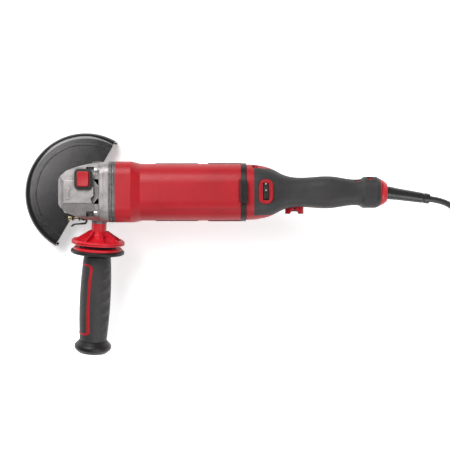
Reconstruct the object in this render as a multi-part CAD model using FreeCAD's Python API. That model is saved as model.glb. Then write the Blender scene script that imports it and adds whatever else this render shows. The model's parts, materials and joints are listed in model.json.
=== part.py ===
"""Long-body angle grinder for 125 mm discs, built as an assembly of separate pieces.

Units are millimetres.  The origin is where the spindle axis crosses the face of the inner flange
that a disc seats on.  +Z runs up the spindle to the lock button, +X runs along the motor axis to
the tail, and the side handle is screwed in on the -Y side.  Each node is written to parts/NODE.step.
"""
import FreeCAD
import Part
import math
import os

V = FreeCAD.Vector
X_AXIS = V(1, 0, 0)
Y_AXIS = V(0, 1, 0)
Z_AXIS = V(0, 0, 1)
FAR = 400.0                     # larger than the tool, for half-space boxes

# ---------------------------------------------------------------- driving dimensions: clearances
RUN = 0.05                      # radial running clearance of shafts and bores
SLIP = 0.3                      # clearance between parts that slide past each other
SEAM = 0.3                      # gap between neighbouring casings

# ---------------------------------------------------------------- driving dimensions: disc end
DISC_D = 125.0                  # largest disc
GUARD_GAP = 8.0                 # guard beyond the disc
GUARD_T = 1.8                   # guard sheet
GUARD_TOP = 9.8                 # top face of the guard plate
GUARD_SKIRT = 27.8              # height of the guard, plate and skirt
GUARD_START = 60.0              # where the half-circle starts, degrees from +X
SPINDLE_THREAD_R = 7.0          # M14
SPINDLE_END = 16.0              # thread below the disc seat
PILOT_R = 11.1                  # 22.2 mm disc bore
PILOT_H = 1.8
FLANGE_R = 20.0
FLANGE_T = 5.0
NUT_T = 8.0
NUT_PLATE_T = 3.2
NUT_HUB_R = 11.5
SPANNER_HOLE_R = 2.5
SPANNER_PITCH_R = 15.0
NECK_R = 20.5                   # round neck that the guard band turns on
NECK_BOTTOM = 6.0
BAND_T = 1.8
BAND_H = 7.0
EAR_X = (-14.2, -6.6)           # where the two clamp ears start
EAR_T = 1.8
BOLT_R = 2.0
CAM_R = 3.7                     # round end of the clamp lever
LEVER_T = 4.4
TONGUE_T = 2.4                  # flat end of the clamp bolt, inside the lever
PIVOT_R = 1.5

# ---------------------------------------------------------------- driving dimensions: gear head
AXIS_H = 52.0                   # motor axis above the disc seat
HEAD_FRONT = -22.3
HEAD_REAR = 34.7
HEAD_HALF_W = 33.3
HEAD_HALF_H = 34.0
HEAD_BOTTOM = 26.0              # underside of the casting, where the retainer is screwed on
RETAINER_T = 6.0
BEARING_PLATE_T = 7.4
GEAR_TEETH = 36
PINION_TEETH = 12
GEAR_PITCH_R = 20.1
TOOTH_FACE = 6.0
GEAR_WEB_TOP = 42.0
GEAR_BOTTOM = 37.0
GEAR_SEAT_R = 5.9
SPINDLE_SEAT_R = 6.0            # 12 mm bearing bore
SPINDLE_TOP = 67.0
TOP_JOURNAL_R = 4.0
TOP_BUSH_R = 6.5
LOWER_BEARING = (6.0, 16.0, 10.0)    # bore radius, outer radius, width of a 6201
FRONT_BEARING_WALL = 8.0        # from bore to outside
FRONT_BEARING_W = 6.6
REAR_BEARING = (4.0, 11.0, 7.0)
LOCK_AT = (5.5, 10.2)           # lock pin, from the spindle axis
LOCK_PIN_R = 2.2
LOCK_HOLE_R = 2.7
LOCK_HOLES = 6
LOCK_TRAVEL = 5.0
BUTTON_AT = (7.6, 13.4)
BUTTON_SIZE = (12.7, 16.5)
BEZEL_SIZE = (18.9, 22.4)
HANDLE_BOSS_X = 22.0
HANDLE_BOSS_R = 8.5
HANDLE_THREAD_R = 4.0           # M8
HANDLE_THREAD_L = 16.0
BOSS_FACE = 34.0
HEAD_SCREW_AT = (23.4, 24.0)    # corner screws, from the motor axis
HEAD_SCREW_X = 21.5             # face that their heads bear on
HEAD_SCREW_R = 2.1
HEAD_SCREW_HEAD = (4.2, 3.0)    # radius and thickness
HEAD_BOSS_R = 5.6
NECK_TO_SCREW = 7.08            # from the neck's face to the retainer screws' axes
NECK_TO_RIM = 9.0               # from the neck's face to the retainer's rim
RETAINER_SCREW_R = 2.0
RETAINER_SCREW_HEAD = (3.5, 2.4)
DECK_HALF_W = 12.6              # flat top of the casting
DECK_STEP = 1.2                 # from the flat top down to the shoulders
RECESS_R = 34.0                 # lens-shaped recess in the top of the casting
RIB_X = 25.2                    # rib in front of the casting's rear flange

# ---------------------------------------------------------------- driving dimensions: motor
MOTOR_L = 137.4
MOTOR_FRONT_HALF = (33.6, 36.0)
MOTOR_HALF = (31.6, 32.0)
MOTOR_CORNER = 22.0
MOTOR_STEP_L = 16.8
MOTOR_TAPER_L = 10.1
MOTOR_WALL = 2.8
PANEL_LIFT = 0.8
SHAFT_R = 5.0
ARMATURE_R = 16.6
AIR_GAP = 0.5
STACK_L = 50.0
STACK_X = 74.0
STATOR_R = 27.6
FAN_R = 26.5
FAN_T = 11.0
COMMUTATOR_R = 11.0
COMMUTATOR_L = 15.0
BRUSH_SIZE = (6.3, 10.0)        # along the shaft and across it
FIELD_COIL_REACH = 8.0          # end turns beyond the stator pack
FAN_FROM_PLATE = 3.5
RING_L = 5.7
SIDE_BAND_HALF = 12.5           # half height of the side vents and filter arms
SIDE_BAND_DEPTH = 1.8
LATCH_SIZE = (7.8, 24.8, 5.4)
LATCH_TRAVEL = 3.0

# ---------------------------------------------------------------- driving dimensions: rear handle
TAPER_L = 48.0                  # from the ring to the slim part of the handle
GRIP_L = 80.4
COLLAR_L = 22.1
SHELL_WALL = 3.4
GRIP_T = 1.6                    # overmoulded rubber
LOFT_DEGREE = 3                 # of the smooth surface between the handle's sections
HANDLE_SCREW_R = 1.6
SEAM_BOSS_R = 5.2               # bosses that the seam screws run in
SCREW_POCKET_R = 3.7
DIAL_FROM_RING = 21.3
DIAL_R = 12.0
DIAL_T = 5.2
DIAL_AXLE_L = 11.6
DIAL_AXLE_R = 2.0
SWITCH_FROM_RING = 54.1
SWITCH_R = 10.3
ROCKER_R = 7.3
ROCKER_DEPTH = 18.2             # pin of the rocker, from the centre plane
ROCKER_PIN_R = 1.2
CLAMP_HALF_H = 7.4              # cord clamp, above and below the motor axis
GLAND_L = 6.8
GLAND_R = 13.9
BOOT_L = 51.0
BOOT_R = (7.4, 5.4)
BOOT_DIRECTION = V(1.0, -0.137, -0.213)

# ---------------------------------------------------------------- driving dimensions: side handle
SIDE_DIRECTION = V(-0.0657, -1.0, -0.1228)
SIDE_FLANGE_R = 29.7
SIDE_GRIP_L = 96.4
SIDE_GRIP_R = (15.1, 17.3, 15.1)
SIDE_CORE_R = 10.5
SIDE_CAP_L = 14.0
SIDE_CAP_R = 20.7
FINGER_PITCH = 13.3
WAVE_ANGLE = 34.0               # finger waves, turned up from +X
INLAY_ANGLE = -31.0             # red line, turned up from -X

# ---------------------------------------------------------------- driving dimensions: power cord
CORD_D = 7.0
COIL_INNER_R = 28.25            # middle of the innermost turn
COIL_OUTER_R = 51.0             # middle of the outermost turn
COIL_LAYERS = 2
COIL_AT = (105.3, -86.0)        # X beyond the end of the strain relief, and Y
COIL_ENTRY = 200.0              # where the cord joins the coil, degrees from +X
COIL_EXIT = 20.0                # where it leaves for the plug
COIL_LEAD_IN = 29.0             # straight cord between the coil and the loose stretch
COIL_LEAD_OUT = 30.0            # straight cord between the coil and the plug
COIL_CORNER = 0.8               # rounding of the wound ring, as a share of the cord's radius
COIL_ROOT = 3.0                 # how far each straight end runs on inside the ring
CORD_ROUTE = (                  # corners of the loose stretch: X beyond the strain relief, Y, and
    (10.3, -8.3, 0.041),        # the share of the drop to the floor
    (22.8, -12.0, 0.148),
    (32.8, -17.5, 0.327),
    (39.6, -25.0, 0.604),
    (41.0, -37.5, 0.822),
    (41.4, -51.5, 0.948),
    (43.7, -65.8, 1.0),
)
TIE_ANGLE = 310.0               # where the strap lies on the coil
PLUG_RELIEF_L = 22.0

# ---------------------------------------------------------------- stations worked out from those
guard_r = DISC_D / 2 + GUARD_GAP
floor_z = GUARD_TOP - GUARD_SKIRT
plate_rear = HEAD_REAR + BEARING_PLATE_T
motor_rear = plate_rear + MOTOR_L
ring_rear = motor_rear + RING_L
rear_start = ring_rear + SEAM
grip_start = rear_start + 8.4
slim_start = rear_start + TAPER_L
slim_end = slim_start + GRIP_L
shell_end = slim_end + COLLAR_L
gland_end = shell_end + GLAND_L
dial_x = rear_start + DIAL_FROM_RING
switch_x = rear_start + SWITCH_FROM_RING
pinion_pitch_r = GEAR_PITCH_R * PINION_TEETH / GEAR_TEETH
pinion_bore_r = pinion_pitch_r * 0.537
spindle_shoulder_r = SPINDLE_THREAD_R + 1.6
retainer_screw_at = (NECK_R + NECK_TO_SCREW) / math.sqrt(2)     # on a square round the spindle
front_bearing = (SHAFT_R, SHAFT_R + FRONT_BEARING_WALL, FRONT_BEARING_W)
stack_end = STACK_X + STACK_L
commutator_x = stack_end + 11.0
brush_x = commutator_x + COMMUTATOR_L / 2
rear_bearing_x = commutator_x + COMMUTATOR_L + 8.0
lock_pitch_r = math.hypot(*LOCK_AT)


# ---------------------------------------------------------------- helpers
def unit(vector):
    """The vector at length 1."""
    return V(vector).normalize()


def rounded_wire(points, radius, closed=True):
    """Straight runs through the points, with each corner rounded by a tangent arc.

    The radius is one number, or one number for each point.
    """
    count = len(points)
    radii = radius if isinstance(radius, (list, tuple)) else [radius] * count
    enters = []
    middles = []
    leaves = []
    for i, corner in enumerate(points):
        open_end = not closed and i in (0, count - 1)
        if open_end or radii[i] <= 0:
            enters.append(corner)
            middles.append(None)
            leaves.append(corner)
            continue
        back = unit(points[i - 1] - corner)
        ahead = unit(points[(i + 1) % count] - corner)
        half = back.getAngle(ahead) / 2
        reach = radii[i] / math.tan(half)
        enters.append(corner + back * reach)
        leaves.append(corner + ahead * reach)
        inward = radii[i] / math.sin(half) - radii[i]
        middles.append(corner + unit(back + ahead) * inward)
    edges = []
    for i in range(count):
        if middles[i] is not None:
            edges.append(Part.Arc(enters[i], middles[i], leaves[i]).toShape())
        if i == count - 1 and not closed:
            break
        start = leaves[i]
        end = enters[(i + 1) % count]
        if start.distanceToPoint(end) > 1e-6:
            edges.append(Part.LineSegment(start, end).toShape())
    return Part.Wire(edges)


def across(x, half_y, half_z, corner, mid_y=0.0, mid_z=AXIS_H):
    """Rounded rectangle across the motor axis at station x."""
    corners = [
        V(x, mid_y + half_y, mid_z + half_z),
        V(x, mid_y - half_y, mid_z + half_z),
        V(x, mid_y - half_y, mid_z - half_z),
        V(x, mid_y + half_y, mid_z - half_z),
    ]
    return rounded_wire(corners, corner)


def bar_x(x0, x1, half_y, half_z, corner, mid_y=0.0, mid_z=AXIS_H):
    """Rounded-rectangle bar along X."""
    return Part.Face(across(x0, half_y, half_z, corner, mid_y, mid_z)).extrude(V(x1 - x0, 0, 0))


def pad_z(x_mid, y_mid, half_x, half_y, corner, z0, z1):
    """Rounded-rectangle pad standing up from z0 to z1."""
    corners = [
        V(x_mid - half_x, y_mid - half_y, z0),
        V(x_mid + half_x, y_mid - half_y, z0),
        V(x_mid + half_x, y_mid + half_y, z0),
        V(x_mid - half_x, y_mid + half_y, z0),
    ]
    return Part.Face(rounded_wire(corners, corner)).extrude(V(0, 0, z1 - z0))


def block(x0, x1, y0, y1, z0, z1):
    """Plain box between two corners."""
    return Part.makeBox(x1 - x0, y1 - y0, z1 - z0, V(x0, y0, z0))


def rod(start, direction, radius, length):
    """Round bar."""
    return Part.makeCylinder(radius, length, start, direction)


def tube(start, direction, outer, inner, length):
    """Round bar with a bore right through."""
    return rod(start, direction, outer, length).cut(rod(start, direction, inner, length))


def lathe(profile, radius=0.0, angle=360.0):
    """Turn a closed (radius, height) profile about Z."""
    points = [V(r, 0, z) for r, z in profile]
    return Part.Face(rounded_wire(points, radius)).revolve(V(0, 0, 0), Z_AXIS, angle)


def placed(shape, origin, direction):
    """The shape with its own +Z turned to the direction and its own origin moved."""
    return shape.transformed(
        FreeCAD.Placement(origin, FreeCAD.Rotation(Z_AXIS, direction)).toMatrix(), True
    )


def on_motor_axis(shape, x=0.0):
    """A shape made about Z, laid along the motor axis with its origin at station x."""
    return placed(shape, V(x, 0, AXIS_H), X_AXIS)


def turned(shape, angle, base=V(0, 0, 0), axis=Z_AXIS):
    """A copy turned about an axis."""
    copy = shape.copy()
    copy.rotate(base, axis, angle)
    return copy


def joined(shapes):
    """One solid from shapes that overlap or touch."""
    shapes = list(shapes)
    whole = shapes[0].multiFuse(shapes[1:]) if len(shapes) > 1 else shapes[0]
    return whole.removeSplitter()


def save(node, *solids):
    """Write one node: a single solid, or a group of separate solids."""
    flat = [solid for shape in solids for solid in shape.Solids]
    shape = flat[0] if len(flat) == 1 else Part.makeCompound(flat)
    if not shape.isValid():
        print("INVALID", node)
    shape.exportStep(os.path.join("parts", node + ".step"))
    print(node, len(flat), round(shape.Volume / 1000, 2), "cm3")


def ball_bearing(size, x=None, z=None):
    """Outer ring with its balls, and inner ring, of one bearing on the motor or spindle axis."""
    bore_r, outer_r, width = size
    wall = (outer_r - bore_r) * 0.28
    ball_r = (outer_r - bore_r) / 2 - wall + 0.5
    track_r = (outer_r + bore_r) / 2
    outer = tube(V(0, 0, 0), Z_AXIS, outer_r, outer_r - wall, width)
    inner = tube(V(0, 0, 0), Z_AXIS, bore_r + wall - SLIP, bore_r, width)
    count = int(2 * math.pi * track_r / (2.6 * ball_r))
    balls = []
    for i in range(count):
        angle = 2 * math.pi * i / count
        centre = V(track_r * math.cos(angle), track_r * math.sin(angle), width / 2)
        balls.append(Part.makeSphere(ball_r, centre))
    groove = Part.makeTorus(track_r, ball_r + SLIP, V(0, 0, width / 2), Z_AXIS)
    inner = inner.cut(groove)
    outer = joined([outer] + balls)
    if x is not None:
        return on_motor_axis(outer, x), on_motor_axis(inner, x)
    outer.translate(V(0, 0, z))
    inner.translate(V(0, 0, z))
    return outer, inner


def screw(head_at, direction, thread_r, length, head_r, head_t):
    """Pan-head screw with a cross slot; head_at is under the head, direction points to the tip."""
    direction = unit(direction)
    head = rod(head_at - direction * head_t, direction, head_r, head_t)
    shank = rod(head_at, direction, thread_r, length)
    whole = joined([head, shank])
    side = unit(direction.cross(V(0.3, 0.5, 0.8)))
    other = direction.cross(side)
    slot_depth = head_t * 0.6
    for along in (side, other):
        wide = along.cross(direction)
        half_l = head_r * 0.62
        half_w = head_r * 0.13
        base = head_at - direction * (head_t + 0.1)
        corners = [
            base + along * half_l + wide * half_w,
            base - along * half_l + wide * half_w,
            base - along * half_l - wide * half_w,
            base + along * half_l - wide * half_w,
        ]
        cutter = Part.Face(rounded_wire(corners, 0)).extrude(direction * (slot_depth + 0.1))
        whole = whole.cut(cutter)
    return whole


# ---------------------------------------------------------------- gear head
gear_room_r = GEAR_PITCH_R + 2.9
pinion_room_r = pinion_pitch_r + 4.5
side_unit = unit(SIDE_DIRECTION)
side_origin = V(HANDLE_BOSS_X - 0.9, -BOSS_FACE, AXIS_H)
bush_top = SPINDLE_TOP + 1.0
lock_floor = AXIS_H + 27.0      # floor of the button pocket


def head_outline():
    """Casting seen from above, as a flat face."""
    half = [(HEAD_FRONT, 13.0), (-12.0, 23.0), (0.0, 28.0), (11.0, 31.0), (22.0, 32.5),
            (HEAD_REAR, HEAD_HALF_W)]
    points = [V(x, -y, 0) for x, y in half] + [V(x, y, 0) for x, y in reversed(half)]
    return Part.Face(rounded_wire(points, [3, 9, 12, 12, 12, 0, 0, 12, 12, 12, 9, 3]))


def head_side():
    """Casting seen from the side, as a flat face."""
    top = AXIS_H + HEAD_HALF_H
    points = [(HEAD_FRONT, HEAD_BOTTOM), (HEAD_FRONT, top - 17), (-18.2, top - 4), (-14.3, top),
              (HEAD_REAR, top), (HEAD_REAR, HEAD_BOTTOM)]
    return Part.Face(rounded_wire([V(x, 0, z) for x, z in points], [4, 6, 3, 2, 0, 0]))


def head_front():
    """Casting seen from the front, as a flat face: a narrow top deck and sloping shoulders."""
    top = AXIS_H + HEAD_HALF_H
    half = [(DECK_HALF_W, top), (DECK_HALF_W, top - DECK_STEP), (26.5, top - 9.0),
            (HEAD_HALF_W + 1, top - 24), (HEAD_HALF_W + 1, 0)]
    points = [V(0, y, z) for y, z in half] + [V(0, -y, z) for y, z in reversed(half)]
    return Part.Face(rounded_wire(points, [0.5, 0.3, 5, 6, 0, 0, 6, 5, 0.3, 0.5]))


def head_recess():
    """Lens-shaped recess behind the gear dome, with a tongue of the top deck reaching into it."""
    lens = rod(V(RECESS_R + 14.5, 0, AXIS_H + HEAD_HALF_H - 5.0), Z_AXIS, RECESS_R, 30)
    lens = lens.common(block(0, RIB_X, -31.5, 31.5, AXIS_H, FAR))
    tongue = [V(10.0, -9.5, 0), V(14.0, -9.5, 0), V(18.4, -4.2, 0), V(18.4, 4.2, 0),
              V(14.0, 9.5, 0), V(10.0, 9.5, 0)]
    keep = Part.Face(rounded_wire(tongue, 0.6)).extrude(V(0, 0, AXIS_H + HEAD_HALF_H))
    return lens.cut(keep)


def make_gear_housing():
    """Hollow casting for the gears, with bosses for the side handle on both sides."""
    plan = head_outline().extrude(V(0, 0, 2 * FAR))
    side = head_side().extrude(V(0, 2 * FAR, 0))
    side.translate(V(0, -FAR, 0))
    front = head_front().extrude(V(2 * FAR, 0, 0))
    front.translate(V(-FAR, 0, 0))
    body = plan.common(side).common(front)
    flange = bar_x(28.7, HEAD_REAR, HEAD_HALF_W, HEAD_HALF_H, 13)
    rib = bar_x(RIB_X, 28.8, HEAD_HALF_W - 0.6, HEAD_HALF_H + 0.4, 14)
    parts = [body, flange, rib]
    for at in head_screw_places():
        parts.append(rod(at, X_AXIS, HEAD_BOSS_R, HEAD_REAR - HEAD_SCREW_X))
    pad = pad_z(BUTTON_AT[0], BUTTON_AT[1], BEZEL_SIZE[0] / 2 - 0.3, BEZEL_SIZE[1] / 2 - 0.3, 4,
                AXIS_H + 14, AXIS_H + HEAD_HALF_H + 0.4)
    parts.append(pad)
    parts.append(rod(V(HANDLE_BOSS_X, 20, AXIS_H), Y_AXIS, HANDLE_BOSS_R, BOSS_FACE - 20))
    parts.append(rod(side_origin - side_unit * 14, side_unit, HANDLE_BOSS_R, 14))
    arrow = [V(-11.2, -8, 0), V(-8.0, -8, 0), V(-8.0, 2.2, 0), V(-5.4, 2.2, 0), V(-9.6, 7.8, 0),
             V(-13.8, 2.2, 0), V(-11.2, 2.2, 0)]
    raised = Part.Face(rounded_wire(arrow, 0.4)).extrude(V(0, 0, 3))
    raised.translate(V(0, 0, AXIS_H + HEAD_HALF_H - 2.2))
    parts.append(raised)
    body = joined(parts).cut(head_recess())

    cutters = [
        rod(V(0, 0, HEAD_BOTTOM - 1), Z_AXIS, gear_room_r, AXIS_H + 4 - HEAD_BOTTOM + 1),
        rod(V(0, 0, AXIS_H), X_AXIS, pinion_room_r, HEAD_REAR + 1),
        rod(V(0, 0, AXIS_H), Z_AXIS, TOP_BUSH_R, bush_top - AXIS_H),
        rod(V(LOCK_AT[0], LOCK_AT[1], AXIS_H), Z_AXIS, LOCK_PIN_R + 0.15, 60),
        rod(V(LOCK_AT[0], LOCK_AT[1], lock_floor - LOCK_TRAVEL), Z_AXIS, 4.6, 60),
        pad_z(BUTTON_AT[0], BUTTON_AT[1], BUTTON_SIZE[0] / 2 + SLIP, BUTTON_SIZE[1] / 2 + SLIP, 2.3,
              lock_floor, lock_floor + 60),
        rod(V(HANDLE_BOSS_X, BOSS_FACE - HANDLE_THREAD_L, AXIS_H), Y_AXIS, HANDLE_THREAD_R, 20),
        rod(side_origin - side_unit * 15, side_unit, HANDLE_THREAD_R, 20),
        bar_x(HEAD_REAR - 3, HEAD_REAR + 1, 24, 22, 12),
    ]
    for at in head_screw_places():
        access = 12.0 if at.z > AXIS_H else HEAD_SCREW_HEAD[1] + 3.0
        cutters.append(rod(at - X_AXIS, X_AXIS, HEAD_SCREW_R, 20))
        cutters.append(rod(at - X_AXIS * access, X_AXIS, HEAD_SCREW_HEAD[0] + 0.2, access))
    for x, y in retainer_screw_places():
        cutters.append(rod(V(x, y, HEAD_BOTTOM - 1), Z_AXIS, RETAINER_SCREW_R, 13))
    for side in (1, -1):
        opening = [V(23.6, side * 13.7, 0), V(17.8, side * 13.7, 0), V(22.4, side * 7.4, 0),
                   V(23.6, side * 7.4, 0)]
        window = Part.Face(rounded_wire(opening, 0)).extrude(V(0, 0, 50))
        window.translate(V(0, 0, AXIS_H + 10))
        cutters.append(window)
    return body.cut(cutters)


def head_screw_places():
    """Where the four corner screws bear on the casting."""
    return [V(HEAD_SCREW_X, sy * HEAD_SCREW_AT[0], AXIS_H + sz * HEAD_SCREW_AT[1])
            for sy in (1, -1) for sz in (1, -1)]


def retainer_screw_places():
    """Four screws on a square round the spindle."""
    return [(sx * retainer_screw_at, sy * retainer_screw_at) for sx in (1, -1) for sy in (1, -1)]


def make_retainer():
    """Bearing retainer: a square flange with the round neck that the guard band turns on."""
    half = retainer_screw_at + 4.0
    flange = pad_z(0, 0, half, half, 7, HEAD_BOTTOM - RETAINER_T, HEAD_BOTTOM)
    flange = flange.common(rod(V(0, 0, 0), Z_AXIS, NECK_R + NECK_TO_RIM, 60))
    neck = rod(V(0, 0, NECK_BOTTOM), Z_AXIS, NECK_R, HEAD_BOTTOM - NECK_BOTTOM)
    lugs = []
    for i in range(3):
        lug = lathe([(NECK_R - 1, NECK_BOTTOM), (NECK_R + 1.2, NECK_BOTTOM),
                     (NECK_R + 1.2, GUARD_TOP - GUARD_T - SLIP),
                     (NECK_R - 1, GUARD_TOP - GUARD_T - SLIP)], 0, 44)
        lugs.append(turned(lug, 20 + 120 * i))
    body = joined([flange, neck] + lugs)
    bearing_r = LOWER_BEARING[1]
    cutters = [
        rod(V(0, 0, NECK_BOTTOM + 4), Z_AXIS, bearing_r, 40),
        rod(V(0, 0, NECK_BOTTOM - 1), Z_AXIS, spindle_shoulder_r + 1.2, 20),
    ]
    for x, y in retainer_screw_places():
        cutters.append(rod(V(x, y, HEAD_BOTTOM - 10), Z_AXIS, RETAINER_SCREW_R, 20))
        cutters.append(rod(V(x, y, HEAD_BOTTOM - RETAINER_T - 1), Z_AXIS,
                           RETAINER_SCREW_HEAD[0] + 0.2, RETAINER_SCREW_HEAD[1] + 1.2))
    for at in head_screw_places():
        cutters.append(rod(at - X_AXIS * 6, X_AXIS, HEAD_SCREW_HEAD[0] + SLIP, 6))
        cutters.append(rod(at - X_AXIS * SLIP, X_AXIS, HEAD_BOSS_R + SLIP, 10))
    return body.cut(cutters)


def make_bearing_plate():
    """Dark plate between gear head and motor, which holds the front armature bearing."""
    plate = bar_x(HEAD_REAR, plate_rear, HEAD_HALF_W + 0.2, HEAD_HALF_H + 0.8, 13.5)
    spigot = bar_x(HEAD_REAR - 2.8, HEAD_REAR + 1, 23.7, 21.7, 11.7)
    lip = bar_x(plate_rear - 1, plate_rear + 3, MOTOR_FRONT_HALF[0] - MOTOR_WALL - 0.1,
                MOTOR_FRONT_HALF[1] - MOTOR_WALL - 0.1, 14)
    hollow = bar_x(plate_rear - 2, plate_rear + 4, MOTOR_FRONT_HALF[0] - MOTOR_WALL - 2.4,
                   MOTOR_FRONT_HALF[1] - MOTOR_WALL - 2.4, 12)
    groove = bar_x(HEAD_REAR + 3.0, HEAD_REAR + 4.4, FAR, FAR, 0)
    core = bar_x(HEAD_REAR + 2.0, HEAD_REAR + 5.4, HEAD_HALF_W - 0.7, HEAD_HALF_H - 0.1, 12.8)
    bore = rod(V(HEAD_REAR - 5, 0, AXIS_H), X_AXIS, front_bearing[1], 5 + BEARING_PLATE_T - 0.8)
    through = rod(V(HEAD_REAR - 5, 0, AXIS_H), X_AXIS, front_bearing[1] - 2.5, 30)
    cutters = [bore, through, groove.cut(core), hollow]
    for at in head_screw_places():
        cutters.append(rod(at, X_AXIS, HEAD_SCREW_R, plate_rear - HEAD_SCREW_X + 4))
    for sy in (1, -1):
        cutters.append(block(HEAD_REAR - 4, plate_rear + 1, sy * 17 - 3, sy * 17 + 3,
                             AXIS_H - 8, AXIS_H + 8))
    return joined([plate, spigot, lip]).cut(cutters)


def bevel_tooth(pitch_r, partner_r, teeth, share, tip, root):
    """One bevel tooth about +Z, apex of the pitch cone at the origin, gear below it."""
    slant = math.hypot(pitch_r, partner_r)
    wires = []
    for reach in (slant, slant - TOOTH_FACE):
        scale = reach / slant
        module = 2 * pitch_r / teeth * scale
        radius = pitch_r * scale
        depth = partner_r * scale
        along = V(pitch_r, 0, -partner_r) * (1 / slant)
        normal = V(partner_r, 0, pitch_r) * (1 / slant)
        centre = V(radius, 0, -depth)
        tip_half = module * math.pi * share * 0.24
        root_half = module * math.pi * share * 0.80
        wires.append(Part.makePolygon([
            centre + normal * (tip * module) + V(0, tip_half, 0),
            centre + normal * (tip * module) - V(0, tip_half, 0),
            centre - normal * (root * module) - V(0, root_half, 0),
            centre - normal * (root * module) + V(0, root_half, 0),
            centre + normal * (tip * module) + V(0, tip_half, 0),
        ]))
    return Part.makeLoft(wires, True, True)


def bevel_blank(pitch_r, partner_r, teeth, root, back, bore_r, hub_r, hub_to):
    """Cone that carries the teeth, with a hub, turned about Z below the pitch apex."""
    slant = math.hypot(pitch_r, partner_r)
    module = 2 * pitch_r / teeth
    drop = root * module * 0.92
    sin_a = pitch_r / slant
    cos_a = partner_r / slant
    inner = (slant - TOOTH_FACE) / slant
    outer_r = pitch_r - cos_a * drop
    outer_z = -partner_r - sin_a * drop
    inner_r = pitch_r * inner - cos_a * drop * inner
    inner_z = -partner_r * inner - sin_a * drop * inner
    profile = [(bore_r, hub_to), (hub_r, hub_to), (hub_r, inner_z), (inner_r, inner_z),
               (outer_r, outer_z), (outer_r, outer_z - 1.2), (outer_r - 1.5, back), (bore_r, back)]
    return lathe(profile)


def make_bevel_gear():
    """Large bevel gear on the spindle, teeth up, with the holes that the lock pin drops into."""
    blank = bevel_blank(GEAR_PITCH_R, pinion_pitch_r, GEAR_TEETH, 1.15,
                        GEAR_BOTTOM - AXIS_H, GEAR_SEAT_R, GEAR_SEAT_R + 2.4,
                        GEAR_WEB_TOP - AXIS_H + 1.0)
    room = lathe([(0, GEAR_WEB_TOP - AXIS_H), (lock_pitch_r + 4.6, GEAR_WEB_TOP - AXIS_H),
                  (lock_pitch_r + 4.6, 0), (0, 0)])
    hub = tube(V(0, 0, GEAR_WEB_TOP - AXIS_H), Z_AXIS, GEAR_SEAT_R + 2.4, GEAR_SEAT_R, 1.0)
    tooth = bevel_tooth(GEAR_PITCH_R, pinion_pitch_r, GEAR_TEETH, 0.40, 0.55, 1.15)
    teeth = [turned(tooth, (i + 0.5) * 360.0 / GEAR_TEETH) for i in range(GEAR_TEETH)]
    gear = joined([blank] + teeth).cut(room).fuse(hub)
    holes = []
    first = math.degrees(math.atan2(LOCK_AT[1], LOCK_AT[0]))
    for i in range(LOCK_HOLES):
        angle = math.radians(first + 360.0 * i / LOCK_HOLES)
        at = V(lock_pitch_r * math.cos(angle), lock_pitch_r * math.sin(angle), -FAR)
        holes.append(rod(at, Z_AXIS, LOCK_HOLE_R, 2 * FAR))
    gear = gear.cut(holes)
    gear.translate(V(0, 0, AXIS_H))
    return gear


def make_bevel_pinion():
    """Small bevel pinion on the nose of the armature shaft."""
    module = 2 * pinion_pitch_r / PINION_TEETH
    blank = bevel_blank(pinion_pitch_r, GEAR_PITCH_R, PINION_TEETH, 1.15,
                        -(GEAR_PITCH_R + 2.4 * module), pinion_bore_r, pinion_bore_r * 1.25,
                        -(GEAR_PITCH_R - TOOTH_FACE))
    tooth = bevel_tooth(pinion_pitch_r, GEAR_PITCH_R, PINION_TEETH, 0.40, 0.55, 1.15)
    teeth = [turned(tooth, i * 360.0 / PINION_TEETH) for i in range(PINION_TEETH)]
    pinion = joined([blank] + teeth)
    return placed(pinion, V(0, 0, AXIS_H), V(-1, 0, 0))


def make_spindle():
    """Spindle: thread, shoulder, bearing seat, gear seat and top journal in one turned piece."""
    thread_root = SPINDLE_THREAD_R - 0.9
    pitch = 2.0
    profile = [(0, -SPINDLE_END), (SPINDLE_THREAD_R - 1.4, -SPINDLE_END)]
    z = -SPINDLE_END + 1.4
    while z < -PILOT_H - 1.2:
        profile += [(SPINDLE_THREAD_R, z), (SPINDLE_THREAD_R, z + 0.5), (thread_root, z + 1.25)]
        z += pitch
    seat_z = NECK_BOTTOM + 4
    bearing_top = seat_z + LOWER_BEARING[2]
    profile += [
        (SPINDLE_THREAD_R, z), (SPINDLE_THREAD_R, FLANGE_T),
        (spindle_shoulder_r, FLANGE_T), (spindle_shoulder_r, seat_z),
        (SPINDLE_SEAT_R, seat_z), (SPINDLE_SEAT_R, bearing_top + 3),
        (SPINDLE_SEAT_R + 2.6, bearing_top + 3), (SPINDLE_SEAT_R + 2.6, GEAR_BOTTOM),
        (GEAR_SEAT_R, GEAR_BOTTOM), (GEAR_SEAT_R, GEAR_WEB_TOP + 3.0),
        (TOP_JOURNAL_R + 0.9, GEAR_WEB_TOP + 3.0), (TOP_JOURNAL_R, GEAR_WEB_TOP + 4.2),
        (TOP_JOURNAL_R, SPINDLE_TOP), (0, SPINDLE_TOP),
    ]
    return lathe(profile)


def make_inner_flange():
    """Flange that the disc sits on, with the pilot that centres its bore."""
    bore = SPINDLE_THREAD_R + RUN
    profile = [(bore, -PILOT_H), (PILOT_R - 0.3, -PILOT_H), (PILOT_R, -PILOT_H + 0.3),
               (PILOT_R, 0), (FLANGE_R, 0), (FLANGE_R, FLANGE_T - 1.6),
               (FLANGE_R - 5, FLANGE_T), (bore, FLANGE_T)]
    flange = lathe(profile)
    relief = lathe([(PILOT_R + 1.2, -0.1), (FLANGE_R - 4.5, -0.1), (FLANGE_R - 4.5, 0.5),
                    (PILOT_R + 1.2, 0.5)])
    return flange.cut(relief)


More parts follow.
